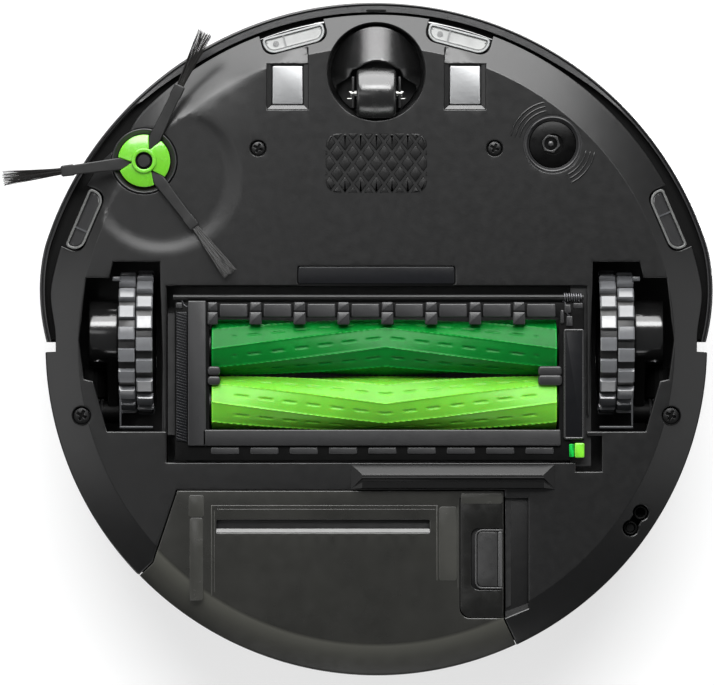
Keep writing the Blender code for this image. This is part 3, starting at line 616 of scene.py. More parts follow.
# Finish of each CAD node that stays in view
KEPT_NODES = {
    "black_plastic": (
        "chassis_frame", "battery_pack", "cleaning_head_housing", "roller_gearbox",
        "side_brush_motor", "fan_housing", "caster_socket", "wheel_rim_left", "wheel_rim_right",
        "front_roller_core", "rear_roller_core",
    ),
    # The drive motors deep in the wheel wells take the near-black finish: painted shade.
    "painted_shade_black": ("drive_motor_left", "drive_motor_right"),
    "motor_steel": ("roller_motor", "suspension_spring_left", "suspension_spring_right"),
    "screw_steel": ("side_brush_screw",),
    "circuit_board": ("main_board",),
    "grey_plastic": ("fan_impeller",),
    "filter_paper": ("bin_filter",),
}


def finish_kept_nodes():
    for finish, nodes in KEPT_NODES.items():
        for node in nodes:
            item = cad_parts[node]
            item.data.materials.clear()
            item.data.materials.append(FINISHES[finish])


# Underside

def bevel_rise(x, y):
    """How far the turned-up rim stands above the belly; it starts softly by the side brush."""
    beyond = np.hypot(x, y) - FLAT_RADIUS
    soft = 2.6 * ease(1.4 - np.hypot(x - BRUSH_SOFT[0], y - BRUSH_SOFT[1]) / 26.0)
    line = BEVEL_SLOPE * beyond
    crease = 0.5 * (line + np.sqrt(line * line + soft * soft))
    return crease + BEVEL_CURL * np.maximum(beyond, 0.0) ** 2


def contact_ramp(x, y):
    """The belly slopes up to the bevel in front of each charging contact."""
    (near, far), (front, _), _ = span("charging_contact_left")
    across = np.abs(x)
    mask = ease((across - near + 3.0) / 0.8) * ease((far + 8.0 - across) / 7.0)
    return 0.25 * np.maximum(front - 0.4 - y, 0.0) * mask


def belly_height(x, y):
    rise = np.maximum(bevel_rise(x, y), contact_ramp(x, y))
    from_dish = np.hypot(x - DISH[0], y - DISH[1])
    dish = 1.15 * ease((DISH_RADIUS - from_dish) / 10.0)
    return BELLY_Z + np.maximum(rise, dish)


def scatter_rings(radii, spacing, centre=(0.0, 0.0)):
    spots = []
    for radius in radii:
        spots += circle(radius, max(8, round(2 * math.pi * radius / spacing)), centre)
    return spots


def wheel_well(sign):
    corners = [
        (108.6, -41.8), (132.0, -41.8), (134.0, -33.7), (145.6, -33.7), (149.2, -2.5),
        (146.6, 17.1), (142.1, 18.1), (135.0, 43.3), (106.6, 43.3),
    ]
    return [(sign * x, y) for x, y in corners][::sign]


def lens_frame(angle, outline):
    """Move an outline from the origin to a lens's place, its +Y side outwards."""
    return turned(outline, angle - 90, polar(LENS_RADIUS, angle))


def body_rim(start):
    """The round body's edge, drawn in at the brush and, from start degrees, behind the bumper."""
    angles = [1.5 * step for step in range(240)]
    for end in (NOTCH_END, 180 - NOTCH_END):
        angles += [end - 0.02, end + 0.02]
    points = []
    for angle in sorted(angles):
        ahead = abs((angle - 270 + 180) % 360 - 180)
        nip = 2.6 * float(ease(1 - abs(angle - 219.0) / 6.0)) if start < 85 else 0.0
        if ahead < 90 + NOTCH_END:
            nip += 5.0 * float(ease((ahead - start) / (89.0 - start)))
        points.append(polar(BODY_RADIUS - nip, angle))
    return points


def belly():
    """The bottom cover, with every opening in it."""
    cutters = [
        circle(CASTER_WELL, 72, CASTER.xy),
        circle(BRUSH_WELL, 60, BRUSH.xy),
        [(HEAD_X[0], HEAD_Y[0]), (HEAD_X[1], HEAD_Y[0]), (HEAD_X[1], 45.4), (113.1, 45.4),
         (113.1, 63.4), (100.0, 63.4), (100.0, HEAD_Y[1]), (HEAD_X[0], HEAD_Y[1])],
        inset(BIN_OUTLINE, -0.5),
        circle(14.4, 60, SENSOR.xy),
    ]
    for side, sign in SIDES.items():
        cutters.append(wheel_well(sign))
        cutters.append([point[:2] for point in contact_frame(side, 0.0, 1.0)])
    for angle in LENS_ANGLES.values():
        cutters.append(lens_frame(angle, rectangle((-16.6, 16.6), (-6.0, 16.0), 5.4)))
    for name in SCREWS:
        node = "cover_screw_" + name
        cutters.append(circle(half_span(node, 0) + 0.5, 28, middle(node).xy))
    x_range, y_range, _ = span("label_plate")
    cutters.append(rectangle(grown(x_range, 0.4), grown(y_range, 0.4), 1.6))
    cutters.append([(64.0, 76.5), (76.2, 76.5), (76.2, 132.0), (64.0, 137.0)])
    cutters += [circle(4.0, 30, hole) for hole in BLIND_HOLES]
    cutters.append(turned(rectangle((-3.0, 3.0), (-2.6, 2.6)), -56.5, BLIND_MIDDLE))
    spots = scatter_rings(range(8, 142, 9), 9.0)
    spots += scatter_rings((145.0, *BEVEL_RADII), 3.2)
    spots += scatter_rings(np.arange(25.0, 43.0, 1.5), 3.0, DISH)
    for sign in (-1, 1):
        for x in (38.0, 42.0, 46.0, 50.0, 53.0, 55.0, 57.0, 59.0, 60.5):
            spots += [(sign * x, y) for y in np.arange(-152.0, -140.5, 1.3)]
    creases = [circle(radius, 300) for radius in CREASE_RADII]
    for x in (33.6, 34.0, 34.4):
        creases += [[(sign * x, y) for y in np.arange(-152.0, -139.0, 1.0)] for sign in (-1, 1)]
    bm = skin([body_rim(79.5)], cutters, creases, spots, belly_height, 2.5)
    piece("belly_cover", bm, "charcoal_plastic", "chassis", ["bottom_cover"], even=True)


def pocket_floors():
    """Dark floors behind the shallow pockets of the belly."""
    beside_bin = [(64.7, 75.7), (77.2, 75.7), (77.2, 133.0), (64.7, 138.2)]
    bm = slab(bmesh.new(), beside_bin, (13.2, 14.6), 0.2)
    loft(bm, [[(64.8, 138.0, 12.7), (64.8, 132.9, 13.3), (64.8, 138.0, 13.3)],
              [(76.8, 133.2, 12.7), (76.8, 128.4, 13.3), (76.8, 133.2, 13.3)]])
    slab(bm, rectangle((-40.5, 40.5), (-40.4, -29.6)), (12.6, 14.0), 0.2)
    piece("pocket_floors", bm, "charcoal_plastic", "chassis")


# Bumper, lenses, contacts and other small parts of the belly

def bumper_radius(ahead):
    """Distance of the bumper's outer face from the body's axis, by degrees from straight ahead."""
    reach = -span("front_bumper")[1][0]
    radius = reach + 2.1 - 2.1 * math.cos(math.radians(min(abs(ahead), 73.0)))
    closing = max(abs(ahead) - 73.0, 0.0) / 16.5
    return radius - (radius - BODY_RADIUS) * closing ** 1.6


def bumper_sweep(name, finish, profile, half_angle, steps):
    """Sweep a section of (inset, height) points round the front."""
    loops = []
    for step in range(steps + 1):
        ahead = half_angle * (2 * step / steps - 1)
        turn = math.radians(ahead)
        nip = 4.4 * float(ease(1.6 - abs(ahead + 51.0) / 4.6))
        lip = 5.0 - 2.4 * float(ease((abs(ahead) - 30.0) / 20.0))
        loop = []
        for distance, z in profile:
            if z < 26.0 and distance > 2.2:
                distance = max(min(distance, lip) - nip, 2.1)
            radius = max(bumper_radius(ahead) - distance, 161.5)
            loop.append((radius * math.sin(turn), -radius * math.cos(turn), z))
        loops.append(loop)
    replaces = ["front_bumper"] if name == "bumper_shell" else ()
    piece(name, loft(bmesh.new(), loops), finish, "bumper", replaces, sharp=40.0)


def bumper():
    low, high = span("front_bumper")[2]
    low_z, high_z = WINDOW_Z
    shell = [
        (6.8, low + 1.6), (6.8, low + 0.3), (6.5, low), (2.1, low + 0.2), (1.85, low + 0.6),
        (1.8, low + 2.4), (1.2, low + 2.4), (1.15, low + 0.75), (1.0, low + 0.55),
        (0.5, low + 0.8), (0.2, low + 1.5), (0.0, low + 3.0), (0.0, low_z), (0.35, low_z + 0.4),
        (0.35, high_z - 0.4), (0.0, high_z), (0.0, high - 6.0), (0.25, high - 4.0),
        (0.9, high - 2.2), (1.9, high - 0.9), (3.2, high - 0.2), (4.8, high),
        (4.8, high - 1.8), (2.3, high - 2.4), (2.3, low + 3.4), (6.6, low + 3.0),
    ]
    bumper_sweep("bumper_shell", "bumper_plastic", shell, 89.5, 220)
    window = [(0.1, low_z + 0.5), (0.1, high_z - 0.5), (1.0, high_z - 0.4), (1.0, low_z + 0.4)]
    bumper_sweep("bumper_window", "gloss_black", window, 78.0, 160)
    # The seal and the skirt are near-black rings that fill the gap behind the bumper: painted
    # shade.
    for name, body, outer, z in (("bumper_seal", "bumper", 2.4, low + 5.3),
                                 ("front_skirt", "chassis", 8.2, low + 3.6)):
        loops = []
        for ahead in range(-89, 90, 2):
            turn = math.radians(ahead)
            inner = 158.5
            if body == "bumper":
                notch = float(ease((11.0 - abs(ahead)) / 1.5))
                inner = 161.0 + PRESS_ROOM * math.cos(turn) + 2.8 * notch
            edge = max(bumper_radius(ahead) - outer, inner + 0.3)
            loops.append([(r * math.sin(turn), -r * math.cos(turn), height) for r, height in
                          ((inner, z), (edge, z), (edge, z + 0.8), (inner, z + 0.8))])
        piece(name, loft(bmesh.new(), loops), "painted_shade_black", body)
    # The bumper's notch is near-black: painted shade.
    notch = rectangle((-5.0, 5.0), (-168.9, -167.8), 0.4)
    bm = slab(bmesh.new(), notch, (low - 0.3, low + 1.2), 0.2)
    piece("bumper_notch", bm, "painted_shade_black", "bumper")


def on_belly(outline, offset):
    """Lay plan points on the belly's surface; a positive offset sinks them into the machine."""
    points = np.array(outline)
    heights = BELLY_Z + bevel_rise(points[:, 0], points[:, 1]) + offset
    return [(x, y, z) for (x, y), z in zip(outline, heights)]


def lens_shape(room):
    """A low D that lies along the rim, its straight side outwards, drawn in by some room."""
    half, inner, outer = 15.8 - room, room - 5.5, 3.3 - room
    large, small = 5.8 - room, max(1.9 - room * 0.7, 0.3)
    return (
        arc(large, 180, 270, 10, (large - half, inner + large))
        + arc(large, 270, 360, 10, (half - large, inner + large))
        + arc(small, 0, 90, 5, (half - small, outer - small))
        + arc(small, 90, 180, 5, (small - half, outer - small))
    )


def lens_loop(angle, outline, offset):
    return on_belly(lens_frame(angle, outline), offset)


def lenses():
    bezel = ((0.0, 3.0), (0.0, 0.1), (0.25, -0.2), (0.9, -0.25), (1.2, 0.0), (1.25, 1.2),
             (1.3, 1.7))
    window = ((1.45, 1.6), (1.45, 0.9), (1.8, 0.7), (3.4, 0.85))
    for name, angle in LENS_ANGLES.items():
        node = "cliff_lens_" + name
        front = name.startswith("front")
        # The front lenses get pale finishes and the side lenses dark ones, though they are alike:
        # painted light in front, painted shade at the sides.
        for part, profile, finish, replaces in (
                ("_bezel", bezel, "clear_lens" if front else "shaded_lens_rim", [node]),
                ("_window", window, "frosted_and_lit_lens" if front else "frame_plastic", ())):
            loops = [lens_loop(angle, lens_shape(room), offset) for room, offset in profile]
            bm = loft(bmesh.new(), loops)
            piece(node + part, bm, finish, "chassis", replaces)
        bm = bmesh.new()
        divider = 3.4 if name == "side_left" else 5.0
        bar = rectangle((divider - 0.45, divider + 0.45), (-4.4, 2.4), 0.3)
        loft(bm, [lens_loop(angle, bar, 1.5), lens_loop(angle, bar, 0.3)])
        if front:
            eye, pupil = (circle(radius, 20, (9.5, -1.0)) for radius in (1.5, 0.9))
            loft(bm, [lens_loop(angle, eye, 1.5), lens_loop(angle, eye, 0.6),
                      lens_loop(angle, pupil, 0.45)])
        piece(node + "_optics", bm, "lens_detail" if front else "grey_plastic", "chassis")


def contact_frame(side, z, share):
    """A loop round a contact: share 0 hugs the plate's opening, and 1 is the frame's outside."""
    (x0, x1), (y0, y1), _ = span("charging_contact_" + side)
    across, front, rear = (0.4 + width * share for width in CONTACT_BORDER)
    return [(x0 - across, y0 - front, z), (x1 + across, y0 - front, z),
            (x1 + across, y1 + rear, z), (x0 - across, y1 + rear, z)]


def contacts():
    for side in SIDES:
        node = "charging_contact_" + side
        x_range, y_range, (z0, z1) = span(node)
        bm = slab(bmesh.new(), rectangle(x_range, y_range, 0.8), (z0, z1 + 1.0), 0.45)
        piece(node + "_plate", bm, "contact_metal", "chassis", [node])
        low = BELLY_Z - 0.02
        loops = [contact_frame(side, low + 2.4, 1.0), contact_frame(side, low, 1.0),
                 contact_frame(side, low, 0.94)]
        front, rear = (contact_frame(side, low + rise, 0.06) for rise in (0.1, 0.62))
        loops.append(front[:2] + rear[2:])
        loops += [contact_frame(side, low + 0.8, 0.0), contact_frame(side, low + 2.4, 0.0)]
        rim = piece(node + "_frame", loft(bmesh.new(), loops, closed=True), "charcoal_plastic",
                    "chassis", sharp=10.0)
        # Faces of the frame that slope forward and down, towards the front lamps, take the lighter
        # glossy finish: painted light on the lit side.
        rim.data.materials.append(FINISHES["frame_gloss"])
        for face in rim.data.polygons:
            face.material_index = int(face.normal.y < -0.2 and face.normal.z < -0.5)
        floor = rectangle(grown(x_range, 0.5), grown(y_range, 0.5))
        bm = slab(bmesh.new(), floor, (BELLY_Z + 2.3, BELLY_Z + 3.2), 0.1)
        piece(node + "_well", bm, "black_plastic", "chassis")


def screws():
    for name in SCREWS:
        node = "cover_screw_" + name
        low = span(node)[2][0]
        centre = middle(node).xy
        radius = half_span(node, 0)
        arm, half = radius * 0.64, radius * 0.17
        cross = [(arm, -half), (arm, half), (half, half), (half, arm), (-half, arm), (-half, half),
                 (-arm, half), (-arm, -half), (-half, -half), (-half, -arm), (half, -arm),
                 (half, -half)]
        cross = turned(cross, 25.0, centre)

        def dome(x, y):
            return low + 0.3 + 0.5 * ((x - centre.x) ** 2 + (y - centre.y) ** 2) / radius ** 2

        spots = scatter_rings(np.arange(0.5, radius - 0.5, 0.8), 0.8, centre)
        bm = skin([circle(radius, 36, centre)], [cross], [], spots, dome, 2.0, 0.15, 2)
        piece(node + "_head", bm, "screw_steel", "chassis", [node])
        # The seat round each screw head is near-black: painted shade in the recess.
        bm = bmesh.new()
        rim = [(radius + 0.05, BELLY_Z + 3.2), (radius + 0.05, BELLY_Z + 2.4),
               (radius + 0.45, BELLY_Z + 0.5), (radius + 0.5, BELLY_Z - 0.05),
               (radius + 0.75, BELLY_Z - 0.08), (radius + 0.95, BELLY_Z + 0.1),
               (radius + 0.95, BELLY_Z + 3.2)]
        turned_solid(bm, rim, 40, over(centre))
        slab(bm, circle(arm + 0.4, 20, centre), (low + 1.4, low + 2.0), 0.1)
        piece(node + "_seat", bm, "painted_shade_black", "chassis")


def floor_sensor():
    place = over(SENSOR)
    bm = bmesh.new()
    z = BELLY_Z
    profile = [(11.9, 4.0), (11.9, 1.2), (12.7, 0.5), (13.0, -0.25), (13.5, -0.45), (13.9, -0.2),
               (14.0, 0.35), (14.15, 0.35), (14.2, -0.1), (14.6, -0.12), (14.7, 0.3), (14.7, 4.0)]
    turned_solid(bm, lifted(profile, z), 96, place)
    pillar(bm, 13.6, z + 5.0, z + 3.0, 48, place)
    piece("floor_sensor_ring", bm, "frame_plastic", "chassis", ["floor_sensor_housing"])
    bm = bmesh.new()
    profile = [(0, 2.8), (11.8, 2.8), (11.9, 1.4), (11.4, 0.9), (9.0, 0.35), (5.4, 0.1),
               (5.2, 1.2), (0, 1.2)]
    turned_solid(bm, lifted(profile, z), 72, place)
    piece("floor_sensor_glass", bm, "sensor_glass", "chassis", ["floor_sensor_lens"])
    centre = (SENSOR.x - 0.9, SENSOR.y - 0.3)
    bm = skin([turned(circle(4.9, 6), 12.0, centre)], [circle(3.3, 32, centre)], [], [],
              level(z + 0.3), 1.4, 0.3, 3)
    profile = [(0, 1.6), (1.3, 1.6), (1.3, 0.7), (0.7, 0.4), (0, 0.4)]
    turned_solid(bm, lifted(profile, z), 20, over(centre))
    piece("floor_sensor_nut", bm, "tab_plastic", "chassis")
    bm = bmesh.new()
    for radius in (17.0, 19.2, 21.4):
        for start, end in ((190.0, 260.0), (10.0, 66.0)):
            ridge_arc(bm, SENSOR.xy, radius, start, end)
    piece("floor_sensor_arcs", bm, "charcoal_plastic", "chassis", sharp=50.0)


def ridge_arc(bm, centre, radius, start, end, steps=26):
    """A half-round bead on the belly, tapered at its two ends."""
    half, rise = 0.5, 0.45
    path = arc(radius, start, end, steps, centre)

    def section(index):
        taper = min(1.0, (min(index, steps - index) + 0.15) / 1.5)
        spot = Vector(path[index])
        out = (spot - Vector(centre)).normalized() * half * taper
        loop = []
        for turn in range(0, 181, 30):
            angle = math.radians(turn)
            shift = spot + out * math.cos(angle)
            loop.append((shift.x, shift.y, BELLY_Z - rise * taper * math.sin(angle)))
        return loop + [(*(spot - out), BELLY_Z + 0.4), (*(spot + out), BELLY_Z + 0.4)]

    loft(bm, [section(index) for index in range(steps + 1)])


def clip(points, outline):
    """The part of a polygon inside a convex anticlockwise outline."""
    for start, end in zip(outline, outline[1:] + outline[:1]):
        a = Vector(start)
        inward = Vector((a.y - end[1], end[0] - a.x))
        kept = []
        for index, point in enumerate(points):
            here, before = Vector(point), Vector(points[index - 1])
            level, last = inward.dot(here - a), inward.dot(before - a)
            if (level > 0) != (last > 0):
                kept.append(tuple(before.lerp(here, last / (last - level))))
            if level > 0:
                kept.append(point)
        points = kept
        if len(points) < 3:
            return []
    return points


def grip_pad():
    """A plain anti-slip pad of raised diamonds in staggered rows."""
    bm = bmesh.new()
    pitch_x, pitch_y = PAD_PITCH
    centre_x, centre_y = sum(PAD_X) / 2, sum(PAD_Y) / 2
    border = rectangle(PAD_X, PAD_Y, 6.5, 8)
    for row in range(-3, 4):
        for column in range(-4, 5):
            x = centre_x + (column + 0.5 * (row % 2)) * pitch_x
            y = centre_y + row * pitch_y
            diamond = clip([(x - pitch_x / 2, y), (x, y - pitch_y), (x + pitch_x / 2, y),
                            (x, y + pitch_y)], border)
            if len(diamond) < 3 or np.ptp([point[1] for point in diamond]) < 3.2:
                continue
            loft(bm, [raised(inset(diamond, distance), BELLY_Z + z) for distance, z in
                      ((0.6, 0.3), (0.66, -0.12), (0.95, -0.42), (1.4, -0.52))])
    piece("grip_pad", bm, "pad_plastic", "chassis", sharp=25.0)


def small_belly_parts():
    x_range, y_range, (z0, z1) = span("label_plate")
    bm = slab(bmesh.new(), rectangle(x_range, y_range, 1.2), (z0, z1 + 1.0), 0.35)
    piece("label_plaque", bm, "grille_plastic", "chassis", ["label_plate"])
    (x0, x1), (y0, y1), (z0, z1) = span("skid_bar")
    section = [(y0, z1 + 1.0), (y0, z1 - 0.05), (y0 + 0.4, z1 - 0.4), (y0 + 4.4, z0 + 0.3),
               (y0 + 5.0, z0), (y0 + 6.3, z0), (y0 + 6.8, z0 + 0.4), (y0 + 7.1, z0 + 1.7),
               (y0 + 8.5, z0 + 1.7), (y0 + 8.9, z0 + 1.0), (y1 - 0.7, z0 + 1.3), (y1, z1 - 0.05),
               (y1, z1 + 1.0)]
    hip = [(y0 + 0.02 * k, z) for k, z in enumerate((z1 + 1.0,) + (z1 - 0.05,) * 5)]
    hip += [(y1 - 0.02 * (6 - k), z1 - 0.05) for k in range(6)] + [(y1, z1 + 1.0)]
    ends = ((x0, hip), (x0 + 5.6, section), (x1 - 5.6, section), (x1, hip))
    bm = loft(bmesh.new(), [[(x, *point) for point in shape] for x, shape in ends])
    piece("skid_runner", bm, "skid_plastic", "chassis", ["skid_bar"], sharp=28.0)
    # The blind holes are near-black inside: painted shade.
    bm = bmesh.new()
    for index, (x, y) in enumerate(BLIND_HOLES):
        z = float(belly_height(np.array([x]), np.array([y]))[0])
        place = over((x, y))
        rim = [(2.5, 9.0), (2.5, 2.2), (2.9, 1.9), (3.3, 2.2), (3.3, 9.0)]
        turned_solid(bm, lifted(rim, z), 36, place)
        pillar(bm, 5.2, z + 9.5, z + 8.6, 24, place)
        if index:
            pin = [(0, 9.0), (2.0, 9.0), (2.0, 3.2), (0, 2.8)]
            turned_solid(bm, lifted(pin, z), 24, place)
    piece("blind_holes", bm, "painted_shade_black", "chassis")


# Drive wheels and caster

def tread_block(bm, centre, sign, start, x_range, radius):
    """One chamfered block of the tread, that follows the tyre's curve."""
    width = 0.62 * 360 / TREAD_BLOCKS
    chamfer = 0.9
    x0, x1 = mirrored(x_range, sign)
    loops = []
    for share in (0.0, 0.07, 0.3, 0.5, 0.7, 0.93, 1.0):
        top = radius - (chamfer if share in (0.0, 1.0) else 0.0)
        corners = [(x0, TREAD_FLOOR - 0.4), (x0, top - 0.6), (x0 + 0.7, top), (x1 - 0.7, top),
                   (x1, top - 0.6), (x1, TREAD_FLOOR - 0.4)]
        angle = math.radians(start + width * share)
        sine, cosine = math.sin(angle), math.cos(angle)
        loops.append([centre + Vector((x, r * sine, -r * cosine)) for x, r in corners])
    loft(bm, loops)


def tyres():
    for side, sign in SIDES.items():
        node = "tyre_" + side
        centre = middle(node)
        radius = half_span(node, 2)
        bm = bmesh.new()
        carcass = [
            (29.0, -7.2), (29.6, -8.1), (31.0, -8.4), (33.4, -8.4), (TREAD_FLOOR, -8.0),
            (TREAD_FLOOR, -0.4), (TREAD_FLOOR - 0.5, 0.0), (TREAD_FLOOR, 0.4), (TREAD_FLOOR, 8.0),
            (33.4, 8.4), (31.0, 8.4), (29.6, 8.1), (29.0, 7.2),
        ]
        turned_solid(bm, carcass, 120, along_x(centre))
        # The carcass between the tread blocks takes a darker finish than the tread: painted shade
        # in the gaps.
        piece(node + "_carcass", bm, "black_plastic", "wheel_" + side, [node])
        bm = bmesh.new()
        pitch = 360 / TREAD_BLOCKS
        for index in range(TREAD_BLOCKS):
            tread_block(bm, centre, sign, index * pitch + 5.0, (0.35, 8.5), radius)
            tread_block(bm, centre, sign, (index + 0.5) * pitch + 5.0, (-8.5, -0.35), radius)
        piece(node + "_tread", bm, "tyre_rubber", "wheel_" + side, sharp=35.0)


def gearboxes():
    for side, sign in SIDES.items():
        node = "wheel_gearbox_" + side
        body = "arm_" + side
        hub = Vector((0.0, -6.2, middle("tyre_" + side).z))
        bm = bmesh.new()
        profile = [(0, 129.8), (16.2, 129.8), (16.7, 130.4), (16.8, 131.2), (16.8, 143.4),
                   (16.6, 144.6), (15.6, 145.2), (0, 145.2)]
        turned_solid(bm, profile, 96, along_x(hub))
        for vert in bm.verts:
            if vert.co.x > 140.0:
                vert.co.x += 0.4 - 0.9 * (hub.z - vert.co.z) / 16.8
            vert.co.x *= sign
        piece(node + "_barrel", bm, "gear_plastic", body, [node])
        bm = bmesh.new()
        loops = []
        for y, low, high in ((4.0, 24.0, 46.0), (12.0, 29.0, 47.0), (22.0, 34.5, 47.5),
                             (30.0, 37.0, 47.4), (37.0, 38.8, 45.2), (38.6, 40.5, 43.5)):
            section = rectangle((130.2, 135.8), (low, high), 1.2, 3)
            loops.append([(sign * x, y, z) for x, z in section])
        loft(bm, loops)
        sleeve = rounded([(0, 129.6), (5.5, 129.6), (5.5, 147.0), (0, 147.0)], 0.7)
        turned_solid(bm, sleeve, 36, along_x((0.0, 34.0, 42.0)))
        pillar(bm, 2.9, 114.0, 131.0, 28, along_x((0.0, middle("tyre_" + side).y, hub.z)))
        for vert in bm.verts:
            if vert.co.x * sign < 0:
                vert.co.x = -vert.co.x
        # The arm, sleeve and axle deep in the well are near-black: painted shade.
        piece(node + "_arm", bm, "painted_shade_black", body, sharp=40.0)
        # The tab at the well's front step is pale grey where a bright spot shows: a painted
        # highlight; the two thin ledges take the same grey.
        bm = bmesh.new()
        for x_range, y_range in (((128.4, 132.3), (-34.3, -32.1)), ((127.9, 128.8), (10.0, 40.6)),
                                 ((112.0, 128.8), (40.6, 41.8))):
            ledge = rectangle(mirrored(x_range, sign), y_range, 0.3)
            slab(bm, ledge, (BELLY_Z + 1.6, BELLY_Z + 3.4), 0.35)
        piece("well_ledges_" + side, bm, "grey_plastic", "chassis")


def caster():
    fork = middle("caster_fork")
    wheel = middle("caster_wheel")
    front_y, back_y = -139.0, -131.0
    slot = [(-20.6, -108.0), (-19.6, -130.6), (-13.4, -134.4), (-11.6, -138.0)]
    slot += arc(14.6, 232, 308, 14, (0.5, -127.6))
    slot += [(11.6, -138.0), (13.4, -134.4), (19.6, -130.6), (20.6, -108.0)]

    def hood(x, y):
        front = ease((back_y + 4.0 - y) / 8.0)
        z = 8.0 + 0.31 * np.maximum(front_y - y, 0.0) + x * x / 40.0 * front
        return z + 0.16 * np.maximum(y - back_y, 0.0) + 0.004 * x * x * (1 - front)

    rim = circle(22.7, 96, fork.xy)
    spots = scatter_rings(np.arange(1.5, 22.0, 1.2), 1.3, fork.xy)
    bm = skin([rim], [slot], [], spots, hood, 2.2, 0.7, 3)
    piece("caster_hood", bm, "caster_plastic", "caster_swivel", ["caster_fork"], 45.0, even=True)
    bm = bmesh.new()
    for sign in (-1, 1):
        cheek = rectangle(mirrored((10.9, 12.4), sign), (wheel.y - 8.5, wheel.y + 7.5), 0.6)
        slab(bm, cheek, (11.5, 27.0), 0.4)
    slab(bm, circle(22.0, 48, fork.xy), (26.8, 29.0), 0.4)
    pillar(bm, 3.9, 40.0, 28.0, 24, over(fork))
    piece("caster_cheeks", bm, "black_plastic", "caster_swivel")
    bm = bmesh.new()
    radius = half_span("caster_wheel", 2)
    half = [(2.3, 9.2), (4.6, 9.2), (5.2, 8.4), (8.6, 8.2), (9.2, 9.4), (10.6, 9.9), (11.6, 9.6),
            (12.3, 8.6), (12.7, 6.0), (radius, 2.0)]
    profile = [(r, -x) for r, x in half] + half[::-1]
    turned_solid(bm, profile, 72, along_x(wheel))
    piece("caster_roller", bm, "caster_rubber", "caster_roll", ["caster_wheel"], 40.0, even=True)
    bm = bmesh.new()
    for sign in (-1, 1):
        for near, far, shift in ((9.9, 13.7, -0.8), (12.2, 14.6, 2.6)):
            start, end = mirrored((near, far), sign)
            profile = rounded([(0, start), (0.4, start), (0.4, end), (0, end)], 0.2)
            turned_solid(bm, profile, 20, along_x(wheel + Vector((0.0, shift, -0.6))))
    pillar(bm, 1.6, -13.0, 13.0, 24, along_x(wheel))
    piece("caster_pin", bm, "pin_steel", "caster_roll", ["caster_axle"])


# Side brush

def side_brush():
    hub = BRUSH.xy
    low = span("side_brush_hub")[2][0]
    arm_low, arm_high = span("side_brush_arms")[2]
    notches = []
    for angle in BRUSH_ANGLES:
        wedge = [(5.7, 0.0), (15.5, -4.8), (15.5, 4.8)]
        notches.append(turned(wedge, angle, hub))

    def dome(x, y):
        out = np.hypot(x - hub.x, y - hub.y)
        return low + 1.0 + 1.5 * (out / 13.1) ** 2.4

    spots = scatter_rings(np.arange(5.4, 12.6, 0.9), 1.0, hub)
    bm = skin([circle(13.1, 96, hub)], [*notches, circle(4.5, 40, hub)], [], spots, dome, 2.4,
              0.45, 3)
    place = over(hub)
    collar = [(4.3, 3.0), (4.3, 0.4), (4.7, 0), (5.9, 0), (6.3, 0.5), (6.4, 3.0)]
    turned_solid(bm, rounded(lifted(collar, low), 0.25), 48, place)
    piece("brush_hub_shell", bm, "lime_plastic", "side_brush", ["side_brush_hub"], even=True)
    # The hub's core, seen in its bore, is near-black: painted shade.
    core = [(0, 22.0), (4.2, 22.0), (4.2, 12.0), (12.0, 12.0), (12.0, 10.0), (4.2, 10.0),
            (4.2, low + 2.2), (0, low + 2.2)]
    piece("brush_hub_core", turned_solid(bmesh.new(), core, 40, place), "painted_shade_black", "side_brush")
    guard = [(13.4, 6.0), (13.4, 0.9), (14.2, 0.6), (15.6, -0.1), (16.1, -0.1), (16.3, 0.5),
             (16.3, 6.0)]
    bm = turned_solid(bmesh.new(), rounded(lifted(guard, BELLY_Z), 0.3), 96, place)
    piece("brush_guard", bm, "frame_plastic", "chassis", even=True)
    bm = bmesh.new()
    middle_z = (arm_low + arm_high) / 2
    for angle in BRUSH_ANGLES:
        loops = []
        for reach, half, thick in ((6.2, 0.3, 0.5), (7.5, 1.2, 0.8), (12.0, 3.1, 1.05),
                                   (16.0, 3.0, 1.05), (26.0, 2.7, 0.95), (35.2, 2.5, 0.9),
                                   (35.8, 2.9, 1.1), (41.2, 2.8, 1.1), (41.9, 2.3, 0.8)):
            outline = rectangle((-half, half), (-thick, thick), min(half, thick) * 0.6, 3)
            loop = []
            for across, rise in outline:
                spot = turned([(reach, across)], angle, hub)[0]
                loop.append((*spot, middle_z + rise - 0.5 * (reach / 42.0) ** 2))
            loops.append(loop)
        loft(bm, loops)
    piece("brush_arms", bm, "brush_rubber", "side_brush", ["side_brush_arms"], even=True)
    bristles(hub)


def bristles(hub):
    dice = random.Random(7)
    for index, angle in enumerate(BRUSH_ANGLES, 1):
        node = "bristle_bundle_%d" % index
        bm = bmesh.new()
        for fibre in range(66):
            share = (fibre + dice.uniform(0.1, 0.9)) / 66 * 2 - 1
            start_z = dice.uniform(7.6, 9.0)
            end_z = dice.uniform(3.1, 4.5)
            length = 71.6 - dice.uniform(0.0, 1.3)
            length -= (dice.random() < 0.12) * dice.uniform(1.0, 5.0)
            sway = dice.uniform(-0.35, 0.35)
            path = []
            for step in range(7):
                t = step / 6
                reach = 39.5 + (length - 39.5) * t
                spread = 1.5 + 2.3 * t ** 1.5
                across = share * spread + sway * math.sin(math.pi * t)
                spot = turned([(reach, across)], angle, hub)[0]
                path.append((*spot, start_z + (end_z - start_z) * t ** 1.5))
            rod(bm, path, [0.17, 0.17, 0.16, 0.15, 0.14, 0.12, 0.06], 5)
        piece("bristles_%d" % index, bm, "bristle_nylon", "side_brush", [node], sharp=60.0)


# Rollers and the frame over them

